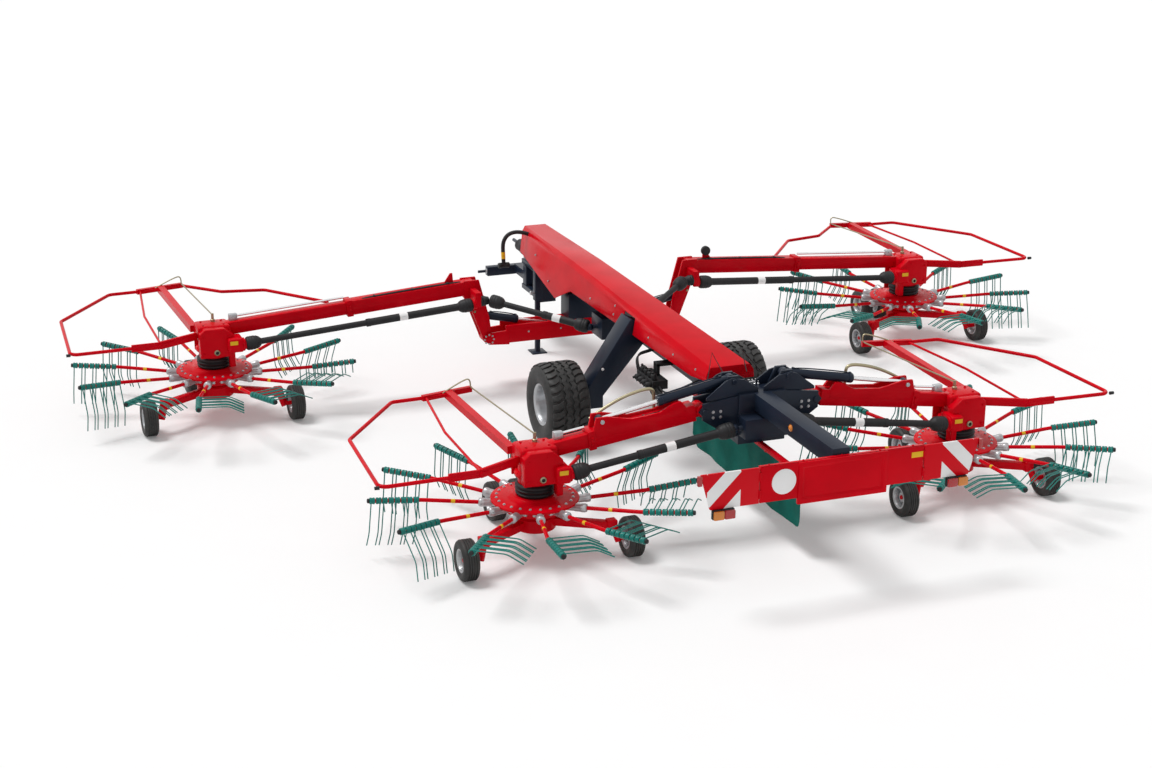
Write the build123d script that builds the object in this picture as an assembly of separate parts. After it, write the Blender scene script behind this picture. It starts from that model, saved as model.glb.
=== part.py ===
from build123d import *
from math import atan2, cos, degrees, radians, sin, sqrt
import os

os.makedirs("parts", exist_ok=True)

# Frame: millimetres, +X to the machine's right, +Y forward, +Z up, ground at z = 0 under the axle

# Rotor sizes
TIP_R = 1650.0
ARM_COUNT = 12
ARM_BEND_R = 1120.0
ARM_BEND = 9.0
ARM_SLOPE = 5.0
ARM_ROOT_R = 330.0
ARM_ROOT_Z = 490.0
ARM_TUBE_R = 20.0
DISH_R = 425.0
DISH_Z = 585.0
HUB_BORE_R = 92.0
RUN_GAP = 0.4
PIN_R = 28.0
CROSS_PIN_R = 22.0
TINE_PAIRS = 4
HOUSING_R = 42.0
HOUSING_START = 240.0
HOUSING_END = 470.0
TINE_SPREAD = 44.0
TINE_WIRE = 10.0
TINE_LEG = 330.0
TINE_TOE = 180.0
TINE_TOE_LEAN = 26.0
COIL_R = 25.0

# Rotor wheels, measured from the rotor's own axis
ROTOR_TYRE_R = 205.0
ROTOR_TYRE_W = 165.0
REAR_WHEEL_X = 850.0
REAR_WHEEL_Y = -453.0
CASTOR_Y = 880.0
CASTOR_TRACK = 250.0
STUB_R = 24.0

# Booms: hinge, start and end of the boom line, in the plane of the rotor's axis, on the left side
HEAD_Z = 1050.0
FRONT_HUB = (4567.0, 2220.0)
REAR_HUB = (2373.0, -2800.0)
FRONT_HINGE = (1230.0, 610.0)
FRONT_KNEE = (1400.0, 1270.0)
REAR_HINGE = (620.0, 1280.0)
FRONT_BOOM_END_X = 2980.0
REAR_BOOM_END_X = 1840.0
BOOM_W = 160.0
BOOM_H = 170.0
BOOM_WALL = 10.0
SLIDE_CLEAR = 0.8
FRONT_OVERLAP = 260.0
REAR_OVERLAP = 570.0
HEAD_REACH = 130.0

# Frame
BEAM_HALF = 110.0
BEAM_TOP = 1320.0
BEAM_BOTTOM = 1080.0
BEAM_FRONT = 3600.0
BEAM_REAR = -2700.0
CROSS_Y = FRONT_HUB[1]
CROSS_TOP = 760.0
CROSS_BOTTOM = 540.0
CROSS_HALF = 130.0
CROSS_WALL = 25.0
CROSS_FLOOR = 14.0
HOOD_FRONT = 3890.0
HOOD_REAR = -2180.0
HOOD_TOP_FRONT = 1510.0
HOOD_TOP_REAR = 1470.0
HOOD_SHEET = 8.0
ROAD_TYRE_R = 472.5
ROAD_TYRE_W = 500.0
ROAD_TRACK_HALF = 1100.0
SPINDLE_R = 60.0
RAIL_TOP = 905.0
PANEL_HALF = 1450.0
PANEL_Y = -4700.0
PANEL_BOTTOM = 1015.0
PANEL_TOP = 1370.0
PTO_R = 22.25
SWIVEL_R = 30.0
PTO_STUB = 300.0
REAR_TIP = -4750.0
FRONT_TIP = 4750.0

# Rotor table: name, side (-1 left, +1 right), hub, angle of the first arm's tip seen from above
ROTORS = (
    ("rear_left", -1, REAR_HUB, 169.8),
    ("front_left", -1, FRONT_HUB, 163.2),
    ("front_right", 1, FRONT_HUB, 157.5),
    ("rear_right", 1, REAR_HUB, 143.7),
)


def save(name, shape):
    export_step(shape, f"parts/{name}.step")


def sided(shape, side):
    return shape if side < 0 else shape.mirror(Plane.YZ)


def rod(start, end, radius):
    line = Vector(*end) - Vector(*start)
    place = Plane(origin=start, z_dir=line).location
    return place * Cylinder(radius, line.length, align=(Align.CENTER, Align.CENTER, Align.MIN))


def bar(start, end, width, height):
    line = Vector(*end) - Vector(*start)
    across = Vector(0, 0, 1).cross(line)
    place = Plane(origin=start, x_dir=line, z_dir=line.cross(across)).location
    return place * Box(line.length, width, height, align=(Align.MIN, Align.CENTER, Align.CENTER))


def block(x0, x1, y0, y1, z0, z1):
    size = Box(x1 - x0, y1 - y0, z1 - z0)
    return Pos((x0 + x1) / 2, (y0 + y1) / 2, (z0 + z1) / 2) * size


def plate_xz(points, y0, y1):
    face = make_face(Polyline(*[(x, y0, z) for x, z in points], close=True))
    return extrude(face, amount=y1 - y0, dir=(0, 1, 0))


def plate_yz(points, x0, x1):
    face = make_face(Polyline(*[(x0, y, z) for y, z in points], close=True))
    return extrude(face, amount=x1 - x0, dir=(1, 0, 0))


def pipe(points, bend, radius):
    path = FilletPolyline(*points, radius=bend)
    return sweep(Plane(origin=path @ 0, z_dir=path % 0) * Circle(radius), path=path)


def turned(profile, axis_place):
    face = make_face(Polyline(*[(r, 0, z) for r, z in profile], close=True))
    return axis_place * revolve(face, Axis.Z)


def pin_y(x, z, y0, y1, radius):
    return rod((x, y0, z), (x, y1, z), radius)


# Rotor with its tine arms: the cam turns each arm so that the tines hang on the outer side
# and lie back, trailing, on the rear and inner side
def arm_roll(azimuth):
    angle = (azimuth - 40.0) % 360.0
    if angle < 140.0:
        return 0.0
    if angle < 185.0:
        return 90.0 * (angle - 140.0) / 45.0
    if angle < 280.0:
        return 90.0
    return 90.0 * (360.0 - angle) / 80.0


def outer_length():
    aside = ARM_BEND_R * sin(radians(ARM_BEND))
    return sqrt(TIP_R ** 2 - aside ** 2) - ARM_BEND_R * cos(radians(ARM_BEND))


def tine_arm(roll):
    outer_len = outer_length()
    pitch = outer_len / (TINE_PAIRS + 0.3)
    half = TINE_WIRE / 2
    toe_x = -TINE_TOE * sin(radians(TINE_TOE_LEAN))
    toe_z = -TINE_LEG - TINE_TOE * cos(radians(TINE_TOE_LEAN))
    leg_line = [(half, 0), (half, -TINE_LEG), (toe_x + half, toe_z)]
    leg_line += [(toe_x - half, toe_z), (-half, -TINE_LEG), (-half, 0)]
    leg_face = make_face(Polyline(*[(0, y, z) for y, z in leg_line], close=True))
    leg = extrude(leg_face, amount=TINE_WIRE, dir=(1, 0, 0))
    coil = extrude(Plane.YZ * RegularPolygon(COIL_R, 6), amount=2 * TINE_SPREAD + TINE_WIRE, dir=(1, 0, 0))
    pieces = []
    for index in range(TINE_PAIRS):
        middle = (index + 0.68) * pitch
        pieces.append(Pos(middle - TINE_SPREAD - half, 0, 0) * coil)
        for spread in (-TINE_SPREAD, TINE_SPREAD):
            pieces.append(Pos(middle + spread - half, 0, 0) * leg)
    tip = (ARM_BEND_R + outer_len * cos(radians(ARM_BEND)), outer_len * sin(radians(ARM_BEND)), 0)
    tube = pipe([(ARM_ROOT_R, 0, 0), (ARM_BEND_R, 0, 0), tip], 300, ARM_TUBE_R)
    tines = [Pos(ARM_BEND_R, 0, 0) * Rot(0, 0, ARM_BEND) * Rot(roll, 0, 0) * piece for piece in pieces]
    housing = rod((HOUSING_START, 0, 0), (HOUSING_END, 0, 0), HOUSING_R)
    return Pos(0, 0, ARM_ROOT_Z) * Rot(0, -ARM_SLOPE, 0) * tube.fuse(housing, *tines)


def rotor(first_tip):
    tip_aside = outer_length() * sin(radians(ARM_BEND))
    tip_reach = ARM_BEND_R + outer_length() * cos(radians(ARM_BEND))
    tip_lead = degrees(atan2(tip_aside, tip_reach))
    shell = [(HUB_BORE_R, 450), (HUB_BORE_R, DISH_Z), (190, DISH_Z), (DISH_R, DISH_Z - 30)]
    shell += [(DISH_R, DISH_Z - 45), (300, DISH_Z - 30), (300, 450)]
    body = turned(shell, Pos(0, 0, 0))
    step = 360.0 / ARM_COUNT
    pieces = []
    for index in range(ARM_COUNT):
        azimuth = first_tip - tip_lead + index * step
        pieces.append(Rot(0, 0, azimuth) * tine_arm(arm_roll(azimuth + tip_lead)))
    return body.fuse(*pieces)


# Wheels
def tyre_and_rim(radius, width, rim_radius, bore):
    half = width / 2
    lip = rim_radius + 12
    profile = [(bore, -0.16 * width), (bore, 0.16 * width), (0.55 * rim_radius, 0.16 * width)]
    profile += [(0.72 * rim_radius, 0.05 * width), (rim_radius - 14, 0.05 * width)]
    profile += [(rim_radius - 8, 0.40 * width), (lip, 0.42 * width), (radius - 0.28 * (radius - lip), half)]
    profile += [(radius - 0.10 * (radius - lip), 0.44 * width), (radius, 0.26 * width)]
    profile += [(radius, -0.26 * width)]
    profile += [(radius - 0.10 * (radius - lip), -0.44 * width), (radius - 0.28 * (radius - lip), -half)]
    profile += [(lip, -0.42 * width), (rim_radius - 8, -0.40 * width), (rim_radius - 14, -0.05 * width)]
    profile += [(0.72 * rim_radius, -0.05 * width), (0.55 * rim_radius, -0.16 * width)]
    return turned(profile, Rot(0, 90, 0))


# Rotor carriage: head, mast and undercarriage, drawn round the rotor's axis at x = y = 0
def head_block():
    return block(-190, 190, -150, 150, HEAD_Z - 90, HEAD_Z + 90)


def rotor_head():
    parts = [head_block()]
    parts.append(rod((0, 0, 640), (0, 0, HEAD_Z - 90), 165))
    parts.append(rod((0, 0, 300), (0, 0, 640), HUB_BORE_R - RUN_GAP))
    parts.append(rod((0, 0, 250), (0, 0, 400), 210))
    return parts


def undercarriage():
    parts = []
    axle_z = ROTOR_TYRE_R
    beam_z = 330.0
    for side in (-1, 1):
        knee = (side * (REAR_WHEEL_X - 190), REAR_WHEEL_Y + 60, beam_z)
        parts.append(bar((0, 0, beam_z), knee, 90, 80))
        fork_x = side * (REAR_WHEEL_X - ROTOR_TYRE_W / 2 - 45)
        parts.append(bar(knee, (fork_x, REAR_WHEEL_Y, axle_z), 80, 60))
        pin_end = side * (REAR_WHEEL_X + 40)
        parts.append(rod((fork_x, REAR_WHEEL_Y, axle_z), (pin_end, REAR_WHEEL_Y, axle_z), STUB_R))
    nose = (0, CASTOR_Y - 260, beam_z)
    parts.append(bar((0, 0, beam_z), nose, 100, 80))
    parts.append(bar(nose, (0, CASTOR_Y, axle_z), 60, 60))
    pin_reach = CASTOR_TRACK / 2 + 40
    parts.append(rod((-pin_reach, CASTOR_Y, axle_z), (pin_reach, CASTOR_Y, axle_z), STUB_R))
    return parts


def guard(kind):
    tube_z = HEAD_Z - 40
    hoop = [(-640, -300, tube_z), (-1660, -330, tube_z), (-1600, 1010, tube_z), (-900, 1960, tube_z)]
    hoop += [(-300, 1990, tube_z)]
    parts = [pipe(hoop, 90, 20)]
    parts.append(bar((-560, 1975, tube_z), (20, 2100, tube_z), 50, 60))
    parts.append(bar((-195, -60, tube_z), (-680, -305, tube_z), 70, 40))
    parts.append(bar((-260, 2030, tube_z), (-190, 152, tube_z + 20), 80, 80))
    parts.append(pipe([(-520, 1965, tube_z), (-640, 900, tube_z), (-640, -290, tube_z)], 90, 14))
    if kind == "front":
        inner = [(0, 2090, tube_z), (430, 1640, tube_z), (950, 1540, tube_z), (1560, 760, tube_z)]
        parts.append(pipe(inner, 90, 20))
    return parts[0].fuse(*parts[1:]) - head_block()


# One side: boom geometry from the hinge to the head
SIDES = {
    "front": {
        "hub": FRONT_HUB, "hinge": FRONT_HINGE, "root": FRONT_KNEE,
        "boom_end": FRONT_BOOM_END_X, "overlap": FRONT_OVERLAP,
    },
    "rear": {
        "hub": REAR_HUB, "hinge": REAR_HINGE, "root": REAR_HINGE,
        "boom_end": REAR_BOOM_END_X, "overlap": REAR_OVERLAP,
    },
}


def boom_line(kind):
    data = SIDES[kind]
    root_x, root_z = data["root"]
    end_x = data["hub"][0] - HEAD_REACH
    slope = (HEAD_Z - root_z) / (end_x - root_x)
    return root_x, root_z, end_x, slope


def on_boom(kind, x):
    root_x, root_z, end_x, slope = boom_line(kind)
    return (-x, SIDES[kind]["hub"][1], root_z + slope * (x - root_x))


def boom_tube(kind, x0, x1, width, height):
    return bar(on_boom(kind, x0), on_boom(kind, x1), width, height)


CYLINDERS = {
    "front": {"barrel_pin": (1275.0, 890.0), "eye": (400.0, 700.0), "barrel": 460.0, "inside": 40.0},
    "rear": {"barrel_pin": (300.0, 1560.0), "eye": (1700.0, 1295.0), "barrel": 800.0, "inside": 120.0},
}
BARREL_R = 48.0
PISTON_ROD_R = 24.0
EYE_HALF = 32.0
FIN_GAP = 54.0


def boom_fin(pin_x, pin_z):
    """Outline of the fins on a rear boom: high at the cylinder's eye, low between, hooked near the hinge."""
    outline = []
    rises = ((pin_x + 90, 0), (pin_x + 60, None), (pin_x - 60, None), (pin_x - 320, 30))
    rises += ((1080, 18), (940, 75), (860, 80), (800, 0))
    for x, rise in rises:
        top_z = on_boom("rear", x)[2] + BOOM_H / 2
        outline.append((-x, pin_z + 45 if rise is None else top_z + rise))
    for x in (800, pin_x + 90):
        outline.append((-x, on_boom("rear", x)[2]))
    return outline


def boom(kind):
    data = SIDES[kind]
    y = data["hub"][1]
    hinge_x, hinge_z = data["hinge"]
    start = data["root"][0] + (80 if kind == "rear" else 0)
    tube = boom_tube(kind, start, data["boom_end"], BOOM_W, BOOM_H)
    barrel = pin_y(-hinge_x, hinge_z, y - 90, y + 90, 62)
    parts = [barrel]
    pin_x, pin_z = CYLINDERS[kind]["eye" if kind == "rear" else "barrel_pin"]
    if kind == "front":
        knee_x, knee_z = data["root"]
        web = [(-hinge_x + 55, hinge_z), (-hinge_x - 55, hinge_z - 20), (-knee_x - 130, knee_z - 40)]
        web += [(-knee_x - 130, knee_z + 90), (-knee_x + 60, knee_z + 90), (-pin_x + 60, pin_z)]
        for y0 in (y - 90, y + 60):
            parts.append(plate_xz(web, y0, y0 + 30))
        parts.append(block(-knee_x - 130, -knee_x - 70, y - 90, y + 90, knee_z - 120, knee_z + 60))
        bearing_y = RELAY["front_end"][1]
        bearing_z = RELAY["front_end"][2] - 60
        parts.append(block(-knee_x - 60, -knee_x + 10, bearing_y - 60, y - 80, bearing_z, knee_z))
    else:
        parts.append(boom_tube(kind, hinge_x + 40, start + 10, 120, 110))
        for y0 in (y - FIN_GAP - 30, y + FIN_GAP):
            parts.append(plate_xz(boom_fin(pin_x, pin_z), y0, y0 + 30))
    if kind == "front":
        parts.append(end_flange(kind, True))
    body = tube.fuse(*parts)
    walls = 2 * BOOM_WALL
    inside = boom_tube(kind, start + 60, data["boom_end"] + 20, BOOM_W - walls, BOOM_H - walls)
    bore = pin_y(-hinge_x, hinge_z, y - 130, y + 130, PIN_R + RUN_GAP)
    body = body - inside - bore
    if kind == "front":
        body = body.fuse(pin_y(-pin_x, pin_z, y - 90, y + 90, CROSS_PIN_R))
    return body


def carriage(kind):
    data = SIDES[kind]
    hub_x, hub_y = data["hub"]
    place = Pos(-hub_x, hub_y, 0)
    width = BOOM_W - 2 * BOOM_WALL - 2 * SLIDE_CLEAR
    height = BOOM_H - 2 * BOOM_WALL - 2 * SLIDE_CLEAR
    tube = boom_tube(kind, data["boom_end"] - data["overlap"], hub_x - HEAD_REACH, width, height)
    parts = [place * piece for piece in rotor_head() + undercarriage()]
    input_x = SHAFTS[kind]["end"]
    input_y = hub_y - SHAFT_BEHIND
    input_z = on_boom(kind, input_x)[2] - SHAFTS[kind]["drop"]
    parts.append(block(-hub_x - 60, -input_x - 20, input_y - 75, hub_y - 100, input_z - 75, input_z + 90))
    if kind == "front":
        parts.append(end_flange(kind, False))
    return tube.fuse(*parts)


def barrel_and_rod(kind):
    data = CYLINDERS[kind]
    y = SIDES[kind]["hub"][1]
    pin = Vector(-data["barrel_pin"][0], y, data["barrel_pin"][1])
    eye = Vector(-data["eye"][0], y, data["eye"][1])
    way = (eye - pin).normalized()
    gland = pin + way * data["barrel"]
    shell = rod(pin + way * 40, gland, BARREL_R)
    lug = pin_y(pin.X, pin.Z, y - EYE_HALF, y + EYE_HALF, 50)
    hole = pin_y(pin.X, pin.Z, y - 100, y + 100, CROSS_PIN_R + RUN_GAP)
    bore = rod(pin + way * 70, gland + way * 10, PISTON_ROD_R + RUN_GAP)
    barrel = shell.fuse(lug) - bore - hole
    piston = rod(gland - way * data["inside"], eye - way * 30, PISTON_ROD_R)
    end = pin_y(eye.X, eye.Z, y - EYE_HALF, y + EYE_HALF, 42)
    return barrel, piston.fuse(end)


# Drive shafts in their guards: a sleeve with a bell at one end and a core with a bell at the other
SLEEVE_R = 45.0
CORE_R = 36.0
BELL_R = 82.0
BALL_R = 46.0
FLANGE_R = 60.0
RELAY = {"gearbox_end": (290.0, 1130.0, 950.0), "front_end": (1270.0, 1950.0, 1150.0)}
SHAFT_BEHIND = 260.0
SHAFTS = {
    "front": {"start": 1470.0, "end": 4250.0, "drop": 150.0, "sleeve": 1330.0, "overlap": 55.0},
    "rear": {"start": 350.0, "end": 2090.0, "drop": 200.0, "sleeve": 1050.0, "overlap": 500.0},
}


def shaft_pair(start, end, sleeve, overlap, swings):
    first = Vector(*start)
    last = Vector(*end)
    way = (last - first).normalized()
    tube = rod(first + way * 100, first + way * sleeve, SLEEVE_R)
    tube = tube.fuse(rod(first + way * 12, first + way * 190, BELL_R))
    tube = tube - rod(first, first + way * (sleeve + 10), CORE_R + RUN_GAP)
    if swings:
        tube = tube - Pos(first) * Sphere(BALL_R + RUN_GAP)
    core = rod(first + way * (sleeve - overlap), last - way * 100, CORE_R)
    core = core.fuse(rod(last - way * 190, last - way * 12, BELL_R))
    return tube, core


def boom_shaft_ends(kind):
    data = SHAFTS[kind]
    shaft_y = SIDES[kind]["hub"][1] - SHAFT_BEHIND
    start = (-data["start"], shaft_y, on_boom(kind, data["start"])[2] - data["drop"])
    end = (-data["end"], shaft_y, on_boom(kind, data["end"])[2] - data["drop"])
    return start, end


def boom_shaft(kind):
    data = SHAFTS[kind]
    start, end = boom_shaft_ends(kind)
    return shaft_pair(start, end, data["sleeve"], data["overlap"], kind == "rear")


def end_flange(kind, at_start):
    start, end = boom_shaft_ends(kind)
    way = (Vector(*end) - Vector(*start)).normalized()
    if at_start:
        return rod(Vector(*start) - way * 50, Vector(*start) + way * 12, FLANGE_R)
    return rod(Vector(*end) - way * 12, Vector(*end) + way * 60, FLANGE_R)


def ball_stub(center, face_x):
    x, y, z = center
    return rod((face_x, y, z), (x, y, z), 28).fuse(Pos(x, y, z) * Sphere(BALL_R))


def relay_shaft():
    gx, gy, gz = RELAY["gearbox_end"]
    fx, fy, fz = RELAY["front_end"]
    return shaft_pair((-gx, gy, gz), (-fx, fy, fz), 600, 70, True)


# Main frame under the hood, rear cross frame, towers and rear beam
def clevis(hinge, y, inner, plate, reach):
    x, z = hinge
    parts = []
    for y0 in (y - inner - plate, y + inner):
        cheek = [(-x, z - 70), (-x - 60, z), (-x, z + 70), (-x + reach, z + 90), (-x + reach, z - 90)]
        parts.append(plate_xz(cheek, y0, y0 + plate))
    return parts + [pin_y(-x, z, y - inner - plate, y + inner + plate, PIN_R)]


def main_frame():
    rear_y = REAR_HUB[1]
    parts = [block(-BEAM_HALF, BEAM_HALF, BEAM_REAR, BEAM_FRONT, BEAM_BOTTOM, BEAM_TOP)]
    parts.append(block(-BEAM_HALF, BEAM_HALF, 3400, BEAM_FRONT, 600, BEAM_BOTTOM + 5))
    parts.append(block(-200, 200, CROSS_Y - 140, CROSS_Y + 140, CROSS_TOP, BEAM_BOTTOM + 5))
    parts.append(block(-200, 200, 960, 1300, 830, BEAM_BOTTOM + 5))
    for z0 in (600, 940):
        parts.append(block(-95, 95, BEAM_FRONT - 5, 4150, z0, z0 + 60))
    parts.append(rod((0, 4050, 600), (0, 4050, 1000), SWIVEL_R))
    parts.append(block(-90, 90, 3880, 4090, 995, 1180))
    parts.append(rod((0, 4085, 1095), (0, FRONT_TIP - PTO_STUB, 1095), 60))
    parts.append(rod((0, 4085, 1095), (0, FRONT_TIP, 1095), PTO_R))
    parts.append(block(-260, 260, rear_y - 160, rear_y + 220, RAIL_TOP, 1430))
    parts.append(block(-90, 90, -4640, rear_y - 150, 1250, 1430))
    parts.append(block(-270, 270, rear_y - SHAFT_BEHIND - 90, rear_y - 155, 1020, 1225))
    parts.append(block(-255, -165, 3160, 3250, 700, 1110))
    parts.append(block(-170, -BEAM_HALF + 5, 3165, 3245, 1085, 1110))
    tower_x, tower_z = CYLINDERS["rear"]["barrel_pin"]
    relay_x, relay_y, relay_z = RELAY["gearbox_end"]
    for side in (-1, 1):
        parts.append(sided(ball_stub((-relay_x, relay_y, relay_z), -190), side))
        parts.append(sided(ball_stub(boom_shaft_ends("rear")[0], -260), side))
        for piece in clevis(REAR_HINGE, rear_y, 100, 34, 380):
            parts.append(sided(piece, side))
        hinge_x, hinge_z = REAR_HINGE
        wing = [(-150, 1430), (-hinge_x - 20, hinge_z + 85), (-hinge_x - 20, hinge_z - 85)]
        wing += [(-330, 985), (-150, 985)]
        for y0 in (rear_y - 134, rear_y + 100):
            parts.append(sided(plate_xz(wing, y0, y0 + 34), side))
        for y0 in (rear_y - 86, rear_y + 56):
            tower = [(-150, 1420), (-380, 1420), (-tower_x - 60, tower_z + 50), (-tower_x + 60, tower_z + 50)]
            parts.append(sided(plate_xz(tower, y0, y0 + 30), side))
        parts.append(sided(pin_y(-tower_x, tower_z, rear_y - 86, rear_y + 86, CROSS_PIN_R), side))
    body = parts[0].fuse(*parts[1:])
    return body - block(-240 - RUN_GAP, -180 + RUN_GAP, 3175 - RUN_GAP, 3235 + RUN_GAP, 600, 1300)


def front_crossbeam():
    floor_z = CROSS_BOTTOM + CROSS_FLOOR
    half = FRONT_HINGE[0] - 220
    parts = [block(-260, 260, CROSS_Y - CROSS_HALF, CROSS_Y + CROSS_HALF, CROSS_BOTTOM, CROSS_TOP)]
    parts.append(block(-half, half, CROSS_Y - CROSS_HALF, CROSS_Y + CROSS_HALF, CROSS_BOTTOM, floor_z))
    for y0 in (CROSS_Y - CROSS_HALF, CROSS_Y + CROSS_HALF - CROSS_WALL):
        parts.append(block(-half, half, y0, y0 + CROSS_WALL, CROSS_BOTTOM, CROSS_TOP))
    eye_x, eye_z = CYLINDERS["front"]["eye"]
    lug = [(-eye_x - 70, CROSS_BOTTOM), (-eye_x - 45, eye_z + 60), (-eye_x + 45, eye_z + 60)]
    lug += [(-eye_x + 90, CROSS_BOTTOM)]
    for side in (-1, 1):
        for piece in clevis(FRONT_HINGE, CROSS_Y, 100, 34, 260):
            parts.append(sided(piece, side))
        for y0 in (CROSS_Y - 72, CROSS_Y + 42):
            parts.append(sided(plate_xz(lug, y0, y0 + 30), side))
    return parts[0].fuse(*parts[1:])


def axle_legs():
    foot = ROAD_TRACK_HALF - ROAD_TYRE_W / 2 - 40
    profile = [(-BEAM_HALF, 1130), (-BEAM_HALF, BEAM_TOP), (-290, 1410), (-foot, 620), (-foot, 400)]
    profile += [(-foot + 200, 400), (-foot + 200, 540)]
    leg = plate_xz(profile, -140, 140)
    spindle = rod((-foot + 20, 0, ROAD_TYRE_R), (-ROAD_TRACK_HALF - 60, 0, ROAD_TYRE_R), SPINDLE_R)
    left = leg.fuse(spindle)
    return Compound([left, sided(left, 1)])


def hood():
    def section(y, top, inset):
        top_half = 150 + 70 * (HOOD_FRONT - y) / (HOOD_FRONT - HOOD_REAR) - inset
        side_half = 330 - inset
        shoulder = top - 60
        top_z = top - inset
        base = 900 if inset == 0 else 850
        points = [(-side_half, base), (-top_half - 45, shoulder), (-top_half, top_z)]
        points += [(top_half, top_z), (top_half + 45, shoulder), (side_half, base)]
        return make_face(Polyline(*[(x, y, z) for x, z in points], close=True))

    def side_outline(inset):
        low = 0 if inset == 0 else 400
        front = HOOD_FRONT - inset
        points = [(HOOD_REAR + inset, HOOD_TOP_REAR + 100), (front + 30, HOOD_TOP_FRONT + 100)]
        points += [(front, HOOD_TOP_FRONT)]
        points += [(front - 100, 1200 - low), (2300, 985 - low), (1860, 1190 - low), (-1800, 1270 - low)]
        points += [(HOOD_REAR + 60, BEAM_TOP - low), (HOOD_REAR + inset, BEAM_TOP - low)]
        return plate_yz(points, -500, 500)

    def skin(inset):
        rear = section(HOOD_REAR, HOOD_TOP_REAR, inset)
        front = section(HOOD_FRONT + 40, HOOD_TOP_FRONT, inset)
        return loft([rear, front], ruled=True)

    outer = skin(0)
    inner = skin(HOOD_SHEET)
    shell = (outer & side_outline(0)) - (inner & side_outline(HOOD_SHEET))
    return shell - block(-500, 500, -160, 160, 1000, 1425)


def light_bar():
    low_half = PANEL_HALF - 100
    board = [(-PANEL_HALF, PANEL_TOP), (-low_half, PANEL_BOTTOM)]
    board += [(low_half, PANEL_BOTTOM), (PANEL_HALF, PANEL_TOP)]
    parts = [plate_xz(board, PANEL_Y, PANEL_Y + 25)]
    parts.append(block(-PANEL_HALF + 60, PANEL_HALF - 60, PANEL_Y + 20, PANEL_Y + 60, 1240, 1300))
    return parts[0].fuse(*parts[1:])


def lamps():
    solids = []
    for side in (-1, 1):
        outer = PANEL_HALF - 120
        lamp = block(-outer, -outer + 220, REAR_TIP, PANEL_Y + 25, PANEL_BOTTOM - 95, PANEL_BOTTOM)
        solids.append(sided(lamp, side))
    return Compound(solids)


def curtain():
    hem = [(-1300, 420), (-1420, 300), (-3870, 300), (-3870, RAIL_TOP - 45), (-1300, RAIL_TOP - 45)]
    cloth = plate_yz(hem, -6, 6)
    rail = block(-25, 25, -3900, -1270, RAIL_TOP - 50, RAIL_TOP)
    hangers = [block(-20, 20, y - 30, y + 30, RAIL_TOP - 5, BEAM_BOTTOM) for y in (-1500, -2300)]
    return cloth.fuse(rail, *hangers)


def headstock():
    parts = [block(-90, 90, 3985, 4115, 672, 928)]
    parts.append(block(-60, 60, 4100, 4560, 700, 820))
    parts.append(block(-440, 440, 4540, 4640, 680, 800))
    for side in (-1, 1):
        parts.append(rod((side * 400, 4590, 740), (side * 560, 4590, 740), 18.5))
    return parts[0].fuse(*parts[1:]) - rod((0, 4050, 600), (0, 4050, 1000), SWIVEL_R + RUN_GAP)


def stand():
    leg = block(-240, -180, 3175, 3235, 10, 900)
    return leg.fuse(block(-310, -110, 3105, 3305, 0, 16))


save("main_frame", main_frame())
save("front_crossbeam", front_crossbeam())
save("axle_legs", axle_legs())
save("hood", hood())
save("light_bar", light_bar())
save("lamps", lamps())
save("swath_curtain", curtain())
save("headstock", headstock())
save("parking_stand", stand())

for side, name in ((-1, "left"), (1, "right")):
    road_wheel = tyre_and_rim(ROAD_TYRE_R, ROAD_TYRE_W, 225, SPINDLE_R + RUN_GAP)
    road_wheel = Pos(-ROAD_TRACK_HALF, 0, ROAD_TYRE_R) * road_wheel
    save(f"{name}_road_wheel", sided(road_wheel, side))
    relay_sleeve, relay_core = relay_shaft()
    save(f"front_{name}_relay_sleeve", sided(relay_sleeve, side))
    save(f"front_{name}_relay_core", sided(relay_core, side))

for name, side, hub, first_tip in ROTORS:
    kind = name.split("_")[0]
    place = Pos(-hub[0], hub[1], 0)
    drawn_tip = first_tip if side < 0 else 180.0 - first_tip
    barrel, piston = barrel_and_rod(kind)
    sleeve, core = boom_shaft(kind)
    wheel = tyre_and_rim(ROTOR_TYRE_R, ROTOR_TYRE_W, 102, STUB_R + RUN_GAP)
    outer_wheel = Pos(-REAR_WHEEL_X, REAR_WHEEL_Y, ROTOR_TYRE_R) * wheel
    inner_wheel = Pos(REAR_WHEEL_X, REAR_WHEEL_Y, ROTOR_TYRE_R) * wheel
    twin = [Pos(x, CASTOR_Y, ROTOR_TYRE_R) * wheel for x in (-CASTOR_TRACK / 2, CASTOR_TRACK / 2)]
    save(f"{name}_boom", sided(boom(kind), side))
    save(f"{name}_carriage", sided(carriage(kind), side))
    save(f"{name}_guard", sided(place * guard(kind), side))
    save(f"{name}_cylinder_barrel", sided(barrel, side))
    save(f"{name}_cylinder_rod", sided(piston, side))
    save(f"{name}_shaft_sleeve", sided(sleeve, side))
    save(f"{name}_shaft_core", sided(core, side))
    save(f"{name}_rotor", sided(place * rotor(drawn_tip), side))
    save(f"{name}_outer_wheel", sided(place * outer_wheel, side))
    save(f"{name}_inner_wheel", sided(place * inner_wheel, side))
    save(f"{name}_castor_wheels", sided(place * Compound(twin), side))
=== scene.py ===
"""Towed four-rotor centre-delivery hay rake in working position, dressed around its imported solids."""

import math

import bpy
from mathutils import Matrix, Vector


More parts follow.
